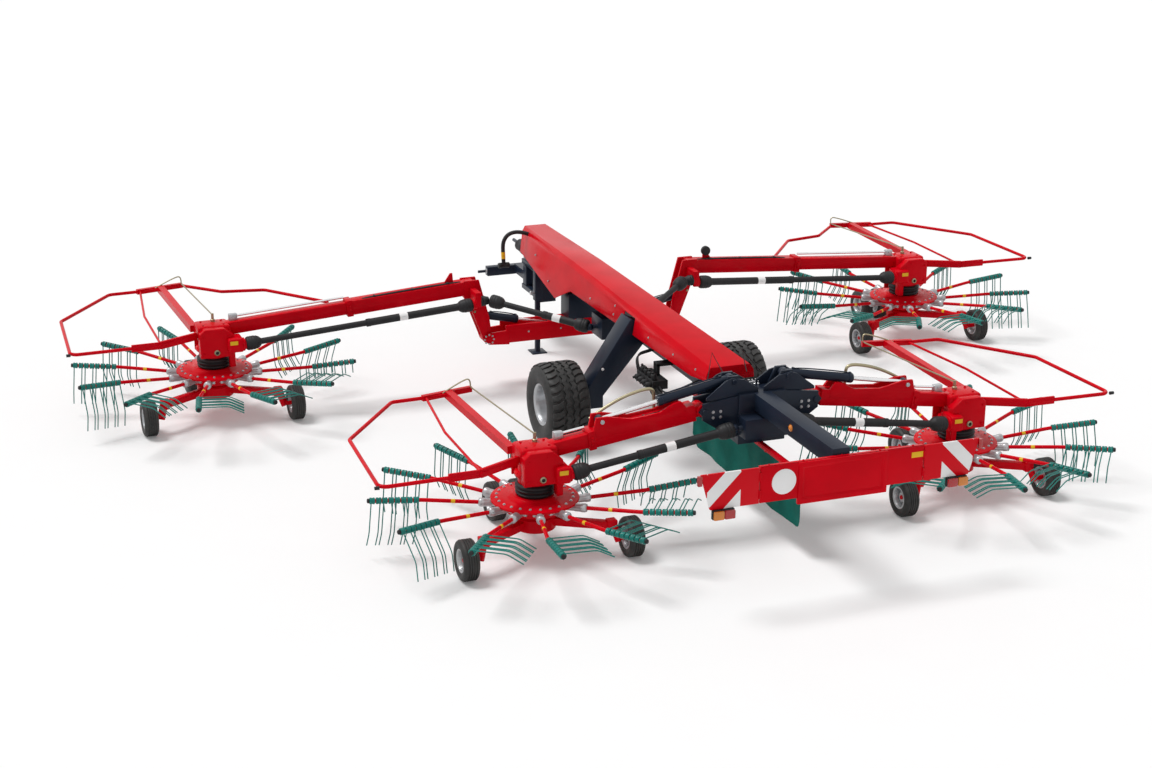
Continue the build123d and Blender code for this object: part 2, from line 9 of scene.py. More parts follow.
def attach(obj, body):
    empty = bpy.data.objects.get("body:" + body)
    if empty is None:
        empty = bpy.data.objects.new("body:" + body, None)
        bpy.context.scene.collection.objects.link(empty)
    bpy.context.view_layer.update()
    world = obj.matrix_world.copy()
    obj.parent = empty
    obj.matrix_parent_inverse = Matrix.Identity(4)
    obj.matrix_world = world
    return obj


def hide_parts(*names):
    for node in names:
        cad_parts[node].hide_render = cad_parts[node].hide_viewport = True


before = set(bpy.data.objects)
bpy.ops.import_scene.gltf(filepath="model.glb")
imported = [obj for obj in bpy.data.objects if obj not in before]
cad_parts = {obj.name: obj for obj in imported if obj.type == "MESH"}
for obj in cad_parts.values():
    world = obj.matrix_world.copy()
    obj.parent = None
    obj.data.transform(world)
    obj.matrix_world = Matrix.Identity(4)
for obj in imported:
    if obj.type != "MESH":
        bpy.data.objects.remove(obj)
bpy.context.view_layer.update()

# Sizes and places in metres: x to the right, y towards the tractor, z up, the road wheels' axle at y = 0
HUBS = {
    "front_left": (-4.567, 2.22),
    "front_right": (4.567, 2.22),
    "rear_left": (-2.373, -2.80),
    "rear_right": (2.373, -2.80),
}
FIRST_TIP = {"front_left": 163.2, "front_right": 157.5, "rear_left": 169.8, "rear_right": 143.7}
ARM_COUNT = 12
ARM_ROOT_Z = 0.490
ARM_BEND_R = 1.12
ARM_BEND = 9.0
ARM_SLOPE = 5.0
ARM_TUBE_R = 0.02
TIP_R = 1.65
TIP_LEAD = 2.9
TINE_PAIRS = 4
TINE_SPREAD = 0.044
TINE_WIRE = 0.0125
TINE_LEG = 0.33
TINE_TOE = 0.18
TINE_TOE_LEAN = 26.0
COIL_R = 0.035
DISH_R = 0.425
HEAD_Z = 1.05
HEAD_FACE = 0.244
GUARD_Z = HEAD_Z - 0.04
ROTOR_TYRE_R = 0.205
REAR_WHEEL_X = 0.85
REAR_WHEEL_Y = -0.453
CASTOR_Y = 0.88
CASTOR_TRACK = 0.25
ROAD_TYRE_R = 0.4725
ROAD_TRACK_HALF = 1.10
TREAD_STEPS = 30
BOTH_SIDES = ((-1, "left"), (1, "right"))
PANEL_HALF = 1.45
PANEL_Y = -4.70
PANEL_BOTTOM = 1.015
PANEL_TOP = 1.37
BOARD_CUT = 0.10
BOARD_SPLIT = 0.855
FILM_INNER = 1.05
FILM_OUTER = 1.385
STRIPE_START = 1.21
STRIPE_PITCH = 0.345
STRIPE_SHARE = 0.51


# Node groups shared by the finishes
NOISE_ROUGHNESS = 0.55


def new_group(name, inputs, outputs):
    group = bpy.data.node_groups.new(name, "ShaderNodeTree")
    for socket, kind, value in inputs:
        made = group.interface.new_socket(name=socket, in_out="INPUT", socket_type=kind)
        made.default_value = value
    for socket, kind in outputs:
        group.interface.new_socket(name=socket, in_out="OUTPUT", socket_type=kind)
    way_in = group.nodes.new("NodeGroupInput")
    way_out = group.nodes.new("NodeGroupOutput")
    return group, way_in, way_out


def noise(tree, vector, scale, detail=4.0):
    node = tree.nodes.new("ShaderNodeTexNoise")
    node.inputs["Detail"].default_value = detail
    node.inputs["Roughness"].default_value = NOISE_ROUGHNESS
    tree.links.new(vector, node.inputs["Vector"])
    if isinstance(scale, (int, float)):
        node.inputs["Scale"].default_value = scale
    else:
        tree.links.new(scale, node.inputs["Scale"])
    return node.outputs["Fac"]


def math_node(tree, kind, first, second=None, third=None, clamp=False):
    node = tree.nodes.new("ShaderNodeMath")
    node.operation = kind
    node.use_clamp = clamp
    for socket, value in zip(node.inputs, (first, second, third)):
        if value is None:
            continue
        if isinstance(value, (int, float)):
            socket.default_value = value
        else:
            tree.links.new(value, socket)
    return node.outputs["Value"]


def mix_colour(tree, factor, first, second):
    node = tree.nodes.new("ShaderNodeMix")
    node.data_type = "RGBA"
    for socket, value in ((node.inputs[0], factor), (node.inputs[6], first), (node.inputs[7], second)):
        if isinstance(value, (int, float, tuple)):
            socket.default_value = value
        else:
            tree.links.new(value, socket)
    return node.outputs[2]


def ramp_mask(tree, value, low, high):
    node = tree.nodes.new("ShaderNodeMapRange")
    node.interpolation_type = "SMOOTHSTEP"
    node.inputs["From Min"].default_value = low
    node.inputs["From Max"].default_value = high
    tree.links.new(value, node.inputs["Value"])
    return node.outputs["Result"]


def field_dust_group():
    """Pale dust that lies on low and upward surfaces: a mask from height, facing and cloudy patches."""
    sockets = [("Amount", "NodeSocketFloat", 0.2), ("Height", "NodeSocketFloat", 0.6),
               ("Patch Scale", "NodeSocketFloat", 5.0)]
    group, way_in, way_out = new_group("field dust", sockets, [("Mask", "NodeSocketFloat")])
    place = group.nodes.new("ShaderNodeTexCoord")
    geometry = group.nodes.new("ShaderNodeNewGeometry")
    split = group.nodes.new("ShaderNodeSeparateXYZ")
    facing = group.nodes.new("ShaderNodeSeparateXYZ")
    group.links.new(place.outputs["Object"], split.inputs[0])
    group.links.new(geometry.outputs["Normal"], facing.inputs[0])
    patches = ramp_mask(group, noise(group, place.outputs["Object"], way_in.outputs["Patch Scale"]), 0.42,
                        0.72)
    level = math_node(group, "DIVIDE", split.outputs["Z"], way_in.outputs["Height"])
    low = math_node(group, "SUBTRACT", 1.0, level, clamp=True)
    upward = math_node(group, "MAXIMUM", facing.outputs["Z"], 0.0)
    lie = math_node(group, "ADD", math_node(group, "MULTIPLY", upward, 0.45), low)
    cover = math_node(group, "MULTIPLY", lie, math_node(group, "ADD", patches, 0.25))
    mask = math_node(group, "MULTIPLY", cover, way_in.outputs["Amount"], clamp=True)
    group.links.new(mask, way_out.inputs["Mask"])
    return group


def orange_peel_group():
    """The faint ripple of sprayed paint, with a slower drift that shifts its gloss."""
    sockets = [("Ripple Scale", "NodeSocketFloat", 40.0), ("Gloss", "NodeSocketFloat", 0.3),
               ("Gloss Drift", "NodeSocketFloat", 0.1)]
    outputs = [("Height", "NodeSocketFloat"), ("Roughness", "NodeSocketFloat"),
               ("Tone", "NodeSocketFloat")]
    group, way_in, way_out = new_group("orange peel", sockets, outputs)
    place = group.nodes.new("ShaderNodeTexCoord")
    ripple = noise(group, place.outputs["Object"], way_in.outputs["Ripple Scale"], 2.0)
    drift = noise(group, place.outputs["Object"], 2.3, 5.0)
    swing = math_node(group, "MULTIPLY", math_node(group, "SUBTRACT", drift, 0.5),
                      way_in.outputs["Gloss Drift"])
    group.links.new(ripple, way_out.inputs["Height"])
    group.links.new(math_node(group, "ADD", way_in.outputs["Gloss"], swing, clamp=True),
                    way_out.inputs["Roughness"])
    group.links.new(ramp_mask(group, drift, 0.3, 0.75), way_out.inputs["Tone"])
    return group


DUST = field_dust_group()
PEEL = orange_peel_group()
DUST_TINT = (0.42, 0.36, 0.27, 1.0)
DRAWN_LINES = (2.0, 60.0, 60.0)
THREAD_WAVES = 1400.0
PRISM_WAVES = 700.0


# Finishes
def new_finish(name, metallic=0.0, coat=0.0, specular=0.5):
    finish = bpy.data.materials.new(name)
    finish.use_nodes = True
    tree = finish.node_tree
    shader = tree.nodes["Principled BSDF"]
    shader.inputs["Metallic"].default_value = metallic
    shader.inputs["Coat Weight"].default_value = coat
    shader.inputs["Coat Roughness"].default_value = 0.08
    shader.inputs["Specular IOR Level"].default_value = specular
    return finish, tree, shader


def placed_group(tree, group, **values):
    node = tree.nodes.new("ShaderNodeGroup")
    node.node_tree = group
    for socket, value in values.items():
        node.inputs[socket.replace("_", " ")].default_value = value
    return node


def bump(tree, shader, height, strength, distance):
    node = tree.nodes.new("ShaderNodeBump")
    node.inputs["Strength"].default_value = strength
    node.inputs["Distance"].default_value = distance
    tree.links.new(height, node.inputs["Height"])
    tree.links.new(node.outputs["Normal"], shader.inputs["Normal"])


def painted(name, colour, shade, gloss, dust=0.1, metallic=0.0, specular=0.28):
    """Sprayed paint: two near tones, a faint ripple and a little dust low down."""
    finish, tree, shader = new_finish(name, metallic=metallic, specular=specular)
    peel = placed_group(tree, PEEL, Gloss=gloss)
    dusty = placed_group(tree, DUST, Amount=dust)
    tone = mix_colour(tree, peel.outputs["Tone"], (*colour, 1.0), (*shade, 1.0))
    tree.links.new(mix_colour(tree, dusty.outputs["Mask"], tone, DUST_TINT), shader.inputs["Base Color"])
    dull = math_node(tree, "MULTIPLY", dusty.outputs["Mask"], 0.5)
    tree.links.new(math_node(tree, "ADD", peel.outputs["Roughness"], dull, clamp=True),
                   shader.inputs["Roughness"])
    bump(tree, shader, peel.outputs["Height"], 0.02, 0.001)
    return finish


def rubber(name, colour, dust, grain=160.0):
    """Matt black rubber or plastic with fine grain and field dust in it."""
    finish, tree, shader = new_finish(name, specular=0.35)
    place = tree.nodes.new("ShaderNodeTexCoord").outputs["Object"]
    dusty = placed_group(tree, DUST, Amount=dust, Patch_Scale=9.0)
    fine = noise(tree, place, grain, 6.0)
    grey = tuple(2.2 * part for part in colour)
    tone = mix_colour(tree, ramp_mask(tree, noise(tree, place, 7.0), 0.35, 0.8), (*colour, 1.0),
                      (*grey, 1.0))
    tree.links.new(mix_colour(tree, dusty.outputs["Mask"], tone, DUST_TINT), shader.inputs["Base Color"])
    tree.links.new(math_node(tree, "MULTIPLY_ADD", fine, 0.3, 0.42), shader.inputs["Roughness"])
    bump(tree, shader, fine, 0.15, 0.003)
    return finish


def bare_metal(name, colour, stain, rough):
    """Plated or polished metal with faint drawn lines and dull patches."""
    finish, tree, shader = new_finish(name, metallic=1.0)
    place = tree.nodes.new("ShaderNodeTexCoord").outputs["Object"]
    stretch = tree.nodes.new("ShaderNodeMapping")
    stretch.inputs["Scale"].default_value = DRAWN_LINES
    tree.links.new(place, stretch.inputs["Vector"])
    lines = noise(tree, stretch.outputs["Vector"], 3.0, 4.0)
    patches = ramp_mask(tree, noise(tree, place, 6.0), 0.45, 0.75)
    tree.links.new(mix_colour(tree, patches, (*colour, 1.0), (*stain, 1.0)), shader.inputs["Base Color"])
    tree.links.new(math_node(tree, "MULTIPLY_ADD", lines, 0.25, rough, clamp=True),
                   shader.inputs["Roughness"])
    bump(tree, shader, lines, 0.05, 0.001)
    return finish


def curtain_cloth(name, colour):
    """Coated woven cloth: crossed threads, with painted shade in noise patches that stand for its hanging
    creases.
    """
    finish, tree, shader = new_finish(name, specular=0.06)
    shader.inputs["Sheen Weight"].default_value = 0.01
    place = tree.nodes.new("ShaderNodeTexCoord").outputs["Object"]
    split = tree.nodes.new("ShaderNodeSeparateXYZ")
    tree.links.new(place, split.inputs[0])
    warp = math_node(tree, "SINE", math_node(tree, "MULTIPLY", split.outputs["Y"], THREAD_WAVES))
    weft = math_node(tree, "SINE", math_node(tree, "MULTIPLY", split.outputs["Z"], THREAD_WAVES))
    weave = math_node(tree, "MULTIPLY", warp, weft)
    # Painted shade: a noise darkens the cloth in patches, down to 0.6 of its colour, as shade in hanging
    # creases; the same noise also varies the roughness.
    folds = noise(tree, place, 3.0, 3.0)
    crease_shade = tuple(0.6 * part for part in colour)
    dusty = placed_group(tree, DUST, Amount=0.005)
    tone = mix_colour(tree, ramp_mask(tree, folds, 0.3, 0.8), (*colour, 1.0), (*crease_shade, 1.0))
    tree.links.new(mix_colour(tree, dusty.outputs["Mask"], tone, DUST_TINT), shader.inputs["Base Color"])
    tree.links.new(math_node(tree, "MULTIPLY_ADD", folds, 0.2, 0.5), shader.inputs["Roughness"])
    bump(tree, shader, weave, 0.1, 0.001)
    return finish


def lens(name, colour):
    """Moulded lamp glass with fine vertical prisms."""
    finish, tree, shader = new_finish(name, coat=0.6)
    place = tree.nodes.new("ShaderNodeTexCoord").outputs["Object"]
    split = tree.nodes.new("ShaderNodeSeparateXYZ")
    tree.links.new(place, split.inputs[0])
    prism = math_node(tree, "SINE", math_node(tree, "MULTIPLY", split.outputs["X"], PRISM_WAVES))
    deep = tuple(0.55 * part for part in colour)
    tree.links.new(mix_colour(tree, ramp_mask(tree, prism, -1.0, 1.0), (*colour, 1.0), (*deep, 1.0)),
                   shader.inputs["Base Color"])
    tree.links.new(math_node(tree, "MULTIPLY_ADD", prism, 0.05, 0.18), shader.inputs["Roughness"])
    bump(tree, shader, prism, 0.3, 0.002)
    return finish


def striped_board(name, red, white, side):
    """Red board with slanting white stripes from FILM_INNER to FILM_OUTER out from the middle."""
    finish, tree, shader = new_finish(name, specular=0.12)
    place = tree.nodes.new("ShaderNodeTexCoord").outputs["Object"]
    split = tree.nodes.new("ShaderNodeSeparateXYZ")
    tree.links.new(place, split.inputs[0])
    out = math_node(tree, "MULTIPLY", split.outputs["X"], side)
    lean = math_node(tree, "SUBTRACT", split.outputs["Z"], PANEL_TOP)
    along = math_node(tree, "SUBTRACT", STRIPE_START, math_node(tree, "ADD", out, lean))
    turn = math_node(tree, "FRACT", math_node(tree, "DIVIDE", along, STRIPE_PITCH))
    band = math_node(tree, "LESS_THAN", turn, STRIPE_SHARE)
    film = math_node(tree, "MULTIPLY", math_node(tree, "GREATER_THAN", out, FILM_INNER),
                     math_node(tree, "LESS_THAN", out, FILM_OUTER))
    peel = placed_group(tree, PEEL, Gloss=0.3)
    soiled = mix_colour(tree, peel.outputs["Tone"], (*white, 1.0),
                        tuple(0.92 * part for part in white) + (1.0,))
    tree.links.new(mix_colour(tree, math_node(tree, "MULTIPLY", band, film), (*red, 1.0), soiled),
                   shader.inputs["Base Color"])
    tree.links.new(peel.outputs["Roughness"], shader.inputs["Roughness"])
    return finish


RED = (0.68, 0.0012, 0.010)
DEEP_RED = (0.57, 0.001, 0.008)
BOARD_WHITE = (0.92, 0.92, 0.92)
FINISHES = {
    "red": (painted("signal red paint", RED, DEEP_RED, 0.24, dust=0.006, specular=0.055), "red_paint"),
    "navy": (painted("navy frame paint", (0.008, 0.013, 0.026), (0.012, 0.020, 0.038), 0.34, dust=0.010,
                     specular=0.20), "navy_paint"),
    "rubber": (rubber("tyre rubber", (0.018, 0.018, 0.018), 0.04), "tyre_rubber"),
    "plastic": (rubber("black shaft plastic", (0.006, 0.006, 0.007), 0.0, 60.0), "shaft_guard"),
    "chrome": (bare_metal("chromed rod", (0.78, 0.78, 0.79), (0.66, 0.66, 0.67), 0.10), "piston_chrome"),
    "cloth": (curtain_cloth("green curtain cloth", (0.001, 0.130, 0.102)), "curtain_fabric"),
    "amber": (lens("amber lens", (0.90, 0.27, 0.005)), "lamp_lens"),
    "lens_red": (lens("red lens", (0.55, 0.003, 0.006)), "lamp_lens"),
    "green": (painted("teal green tines", (0.001, 0.20, 0.168), (0.001, 0.14, 0.118), 0.28, dust=0.0,
                      specular=0.30), "tine_green"),
    "silver": (painted("silver castings", (0.50, 0.51, 0.52), (0.40, 0.41, 0.43), 0.34, dust=0.04,
                       metallic=0.6), "silver_metal"),
    "zinc": (bare_metal("yellow zinc plate", (0.36, 0.32, 0.21), (0.28, 0.26, 0.18), 0.30), "zinc_steel"),
    "yellow": (painted("yellow film", (0.85, 0.50, 0.01), (0.80, 0.46, 0.01), 0.30, dust=0.02),
               "label_plastic"),
    "white": (painted("white film", (0.94, 0.94, 0.94), (0.90, 0.90, 0.90), 0.30, dust=0.008),
              "label_plastic"),
    "left_stripes": (striped_board("left stripes", RED, BOARD_WHITE, -1.0), "red_paint"),
    "right_stripes": (striped_board("right stripes", RED, BOARD_WHITE, 1.0), "red_paint"),
}


# Modelling by hand: every piece ends with its place in its own mesh
def deselect():
    if bpy.context.object and bpy.context.object.mode != "OBJECT":
        bpy.ops.object.mode_set(mode="OBJECT")
    bpy.ops.object.select_all(action="DESELECT")


def pick(piece):
    deselect()
    piece.select_set(True)
    bpy.context.view_layer.objects.active = piece


def bevelled(piece, width, segments=2, limit=35.0):
    pick(piece)
    edge = piece.modifiers.new("edge", "BEVEL")
    edge.width = width
    edge.segments = segments
    edge.limit_method = "ANGLE"
    edge.angle_limit = math.radians(limit)
    bpy.ops.object.modifier_apply(modifier=edge.name)
    return piece


def slab(name, corner, across, bevel=0.004, segments=2):
    """A square-cut block between two opposite corners, with its edges broken."""
    deselect()
    middle = [(a + b) / 2 for a, b in zip(corner, across)]
    size = [abs(b - a) for a, b in zip(corner, across)]
    bpy.ops.mesh.primitive_cube_add(size=1.0, location=middle, scale=size)
    piece = bpy.context.object
    piece.name = name
    bpy.ops.object.transform_apply(location=True, rotation=True, scale=True)
    return bevelled(piece, bevel, segments)


def plate(name, outline, y0, y1, bevel=0.005):
    """A plate cut to an outline of (x, z) points and pushed out from y0 to y1."""
    deselect()
    bpy.ops.mesh.primitive_circle_add(vertices=len(outline), radius=0.1, fill_type="NGON")
    piece = bpy.context.object
    piece.name = name
    for vertex, (x, z) in zip(piece.data.vertices, outline):
        vertex.co = (x, y0, z)
    bpy.ops.object.mode_set(mode="EDIT")
    bpy.ops.mesh.select_all(action="SELECT")
    bpy.ops.mesh.extrude_region_move(TRANSFORM_OT_translate={"value": (0.0, y1 - y0, 0.0)})
    bpy.ops.mesh.select_all(action="SELECT")
    bpy.ops.mesh.normals_make_consistent(inside=False)
    bpy.ops.object.mode_set(mode="OBJECT")
    bevelled(piece, bevel)
    return piece


def beam(name, start, end, width, height, bevel=0.006):
    """A bar of box section from one point to another, its height turned to the vertical."""
    first, last = Vector(start), Vector(end)
    run = last - first
    piece = slab(name, (-width / 2, 0.0, -height / 2), (width / 2, run.length, height / 2), bevel)
    forward = run.normalized()
    across = forward.cross(Vector((0, 0, 1))).normalized()
    upward = across.cross(forward)
    turn = Matrix((across, forward, upward)).transposed().to_4x4()
    piece.data.transform(Matrix.Translation(first) @ turn)
    return piece


def spun(name, profile, start, axis, steps=32):
    """A turned piece: (radius, distance along the axis) points drawn as a line and spun round."""
    deselect()
    first_r, first_h = profile[0]
    bpy.ops.mesh.primitive_plane_add(size=0.01, location=(0.0, 0.0, 0.0))
    piece = bpy.context.object
    piece.name = name
    bpy.ops.object.mode_set(mode="EDIT")
    bpy.ops.mesh.select_mode(type="VERT")
    bpy.ops.mesh.select_all(action="SELECT")
    bpy.ops.mesh.merge(type="CENTER")
    bpy.ops.transform.translate(value=(first_r, 0.0, first_h))
    for (r0, h0), (r1, h1) in zip(profile, profile[1:]):
        bpy.ops.mesh.extrude_vertices_move(TRANSFORM_OT_translate={"value": (r1 - r0, 0.0, h1 - h0)})
    bpy.ops.mesh.select_all(action="SELECT")
    bpy.ops.mesh.spin(steps=steps, angle=math.tau, center=(0.0, 0.0, 0.0), axis=(0.0, 0.0, 1.0))
    bpy.ops.mesh.select_all(action="SELECT")
    bpy.ops.mesh.remove_doubles(threshold=0.00005)
    bpy.ops.mesh.normals_make_consistent(inside=False)
    bpy.ops.object.mode_set(mode="OBJECT")
    turn = Vector((0, 0, 1)).rotation_difference(Vector(axis)).to_matrix().to_4x4()
    piece.data.transform(Matrix.Translation(start) @ turn)
    return piece


def both_ways(half):
    """A profile and its mirror image along the axis."""
    return half + [(radius, -along) for radius, along in reversed(half)]


def closed_ring(inner, outer, half):
    """The profile of a plain ring, half its length to each side."""
    return [(inner, -half), (outer, -half), (outer, half), (inner, half), (inner, -half)]


def round_bars(name, paths, radius, sides=6, smooth=False):
    """Round bars along paths of (x, y, z) or (x, y, z, share of the radius), made one mesh."""
    deselect()
    curve = bpy.data.curves.new(name, "CURVE")
    curve.dimensions = "3D"
    curve.bevel_depth = radius
    curve.bevel_resolution = (sides - 4) // 2
    curve.use_fill_caps = True
    curve.resolution_u = 6
    for path in paths:
        spline = curve.splines.new("NURBS" if smooth else "POLY")
        spline.points.add(len(path) - 1)
        for point, place in zip(spline.points, path):
            point.co = (place[0], place[1], place[2], 1.0)
            point.radius = place[3] if len(place) > 3 else 1.0
        if smooth:
            spline.order_u = 3
            spline.use_endpoint_u = True
    piece = bpy.data.objects.new(name, curve)
    bpy.context.scene.collection.objects.link(piece)
    pick(piece)
    bpy.ops.object.convert(target="MESH")
    return bpy.context.object


def copy_of(piece, name):
    twin = piece.copy()
    twin.data = piece.data.copy()
    twin.name = name
    bpy.context.scene.collection.objects.link(twin)
    return twin


def copies(piece, matrices):
    """One mesh of copies of a piece, each moved by its own matrix. The piece itself is used up."""
    twins = []
    for matrix in matrices:
        twin = copy_of(piece, piece.name)
        twin.data.transform(matrix)
        twins.append(twin)
    name = piece.name
    bpy.data.objects.remove(piece)
    return joined(name, twins)


def joined(name, parts):
    deselect()
    for part in parts:
        part.select_set(True)
    bpy.context.view_layer.objects.active = parts[0]
    bpy.ops.object.join()
    piece = bpy.context.object
    piece.name = name
    return piece


def fitted(piece, body, finish, *nodes, smooth=40.0):
    """Gives a piece its finish and the body that it moves with, and hides the nodes that it stands for."""
    pick(piece)
    bpy.ops.object.shade_smooth_by_angle(angle=math.radians(smooth))
    material, slot = FINISHES[finish]
    piece.data.materials.clear()
    piece.data.materials.append(material)
    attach(piece, body)
    if nodes:
        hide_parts(*nodes)
    return piece


def softened(node, body, finish, width=0.005, shaping=None):
    """A copy of a solid with its sharp edges rounded, shown in its place."""
    piece = copy_of(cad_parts[node], "soft_" + node)
    piece.parent = None
    piece.matrix_world = Matrix.Identity(4)
    pick(piece)
    bpy.ops.object.mode_set(mode="EDIT")
    bpy.ops.mesh.select_all(action="SELECT")
    bpy.ops.mesh.remove_doubles(threshold=0.00002)
    bpy.ops.mesh.dissolve_limited(angle_limit=math.radians(0.5))
    bpy.ops.object.mode_set(mode="OBJECT")
    if shaping:
        shaping(piece)
    bevelled(piece, width, 2, 40.0)
    return fitted(piece, body, finish, node)


FOLD_Y = 2.0
HOOD_FRONT = 3.89
HOOD_LENGTH = 6.07


def fold_front(piece):
    """Folds the sheet across the hood, its flanks drawing in from the fold towards the front."""
    bpy.ops.object.mode_set(mode="EDIT")
    bpy.ops.mesh.select_all(action="SELECT")
    bpy.ops.mesh.bisect(plane_co=(0.0, FOLD_Y, 0.0), plane_no=(0.0, 1.0, 0.0))
    bpy.ops.object.mode_set(mode="OBJECT")
    for vertex in piece.data.vertices:
        share = max(0.0, (vertex.co.y - FOLD_Y) / (HOOD_FRONT - FOLD_Y))
        vertex.co.x *= 1.0 - 0.06 * share
        if vertex.co.z > 1.3 and abs(vertex.co.y - FOLD_Y) < 0.001:
            vertex.co.z += 0.022


def repainted(node, finish):
    """A solid whose shape is right keeps it, under a worked finish."""
    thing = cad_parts[node]
    material = FINISHES[finish][0]
    for place in thing.material_slots:
        place.material = material


def ring_angles(count, offset=0.0):
    return [math.radians(offset + 360.0 * index / count) for index in range(count)]


def on_ring(centre, radius, count, axis, offset=0.0):
    """Places spaced round a circle about a centre, square to the axis x, y or z."""
    places = []
    for angle in ring_angles(count, offset):
        u, v = radius * math.cos(angle), radius * math.sin(angle)
        places.append(Vector(centre) + Vector({"x": (0.0, u, v), "y": (u, 0.0, v), "z": (u, v, 0.0)}[axis]))
    return places


# Rotor
def arm_roll(azimuth):
    """Turn of a tine arm about itself: tines hang, then trail as the arm passes over the swath."""
    angle = (azimuth - 40.0) % 360.0
    if angle < 140.0:
        return 0.0
    if angle < 185.0:
        return 90.0 * (angle - 140.0) / 45.0
    if angle < 280.0:
        return 90.0
    return 90.0 * (360.0 - angle) / 80.0


def rotor_arms(name):
    """For each arm of a rotor, the matrix from its own frame (x out along it) and its roll in degrees."""
    hub_x, hub_y = HUBS[name]
    mirrored = name.endswith("right")
    tip = 180.0 - FIRST_TIP[name] if mirrored else FIRST_TIP[name]
    place = Matrix.Translation((hub_x, hub_y, 0.0))
    flip = Matrix.Scale(-1.0, 4, (1, 0, 0)) if mirrored else Matrix.Identity(4)
    arms = []
    for index in range(ARM_COUNT):
        azimuth = tip + index * 360.0 / ARM_COUNT
        turn = Matrix.Rotation(math.radians(azimuth - TIP_LEAD), 4, "Z")
        arms.append((place @ flip @ turn, arm_roll(azimuth)))
    return arms


ARM_TILT = Matrix.Rotation(math.radians(-ARM_SLOPE), 3, "Y")
ARM_BASE = Vector((0.0, 0.0, ARM_ROOT_Z))
OUTER_TURN = ARM_TILT @ Matrix.Rotation(math.radians(ARM_BEND), 3, "Z")
OUTER_RUN = math.sqrt(TIP_R ** 2 - (ARM_BEND_R * math.sin(math.radians(ARM_BEND))) ** 2)
OUTER_RUN -= ARM_BEND_R * math.cos(math.radians(ARM_BEND))
TINE_PITCH = OUTER_RUN / (TINE_PAIRS + 0.3)


def arm_point(distance):
    """A point on the straight inner part of an arm, by its distance from the rotor's axis."""
    return ARM_BASE + ARM_TILT @ Vector((distance, 0.0, 0.0))


def outer_point(run):
    """A point on the bent outer part of an arm, by its run from the bend."""
    return arm_point(ARM_BEND_R) + OUTER_TURN @ Vector((run, 0.0, 0.0))


def tine_paths(roll):
    """Coils and legs of one arm in its own frame: two legs to each holder, bent to the leading side."""
    turn = OUTER_TURN @ Matrix.Rotation(math.radians(roll), 3, "X")
    down = turn @ Vector((0.0, 0.0, -1.0))
    lead = turn @ Vector((0.0, -1.0, 0.0))
    lean = math.radians(TINE_TOE_LEAN)
    toe_way = down * math.cos(lean) + lead * math.sin(lean)
    bead = ((-0.027, 0.72), (-0.023, 0.97), (-0.012, 1.04), (-0.003, 0.90))
    bead += tuple((-step, share) for step, share in reversed(bead))
    coils = []
    legs = []
    for pair in range(TINE_PAIRS):
        for spread in (-TINE_SPREAD, TINE_SPREAD):
            run = TINE_PITCH * (pair + 0.68) + spread * 0.72
            coils.append([(*outer_point(run + step), share) for step, share in bead])
            start = outer_point(run + spread * 0.28) - lead * COIL_R * 0.6
            knee = start + down * TINE_LEG
            before = knee - down * 0.035
            after = knee + toe_way * 0.035
            round_knee = knee * 0.5 + before * 0.25 + after * 0.25
            legs.append([start, before, round_knee, after, knee + toe_way * TINE_TOE])
    return coils, legs


def moved(matrix, path):
    return [(*(matrix @ Vector(point[:3])), *point[3:]) for point in path]


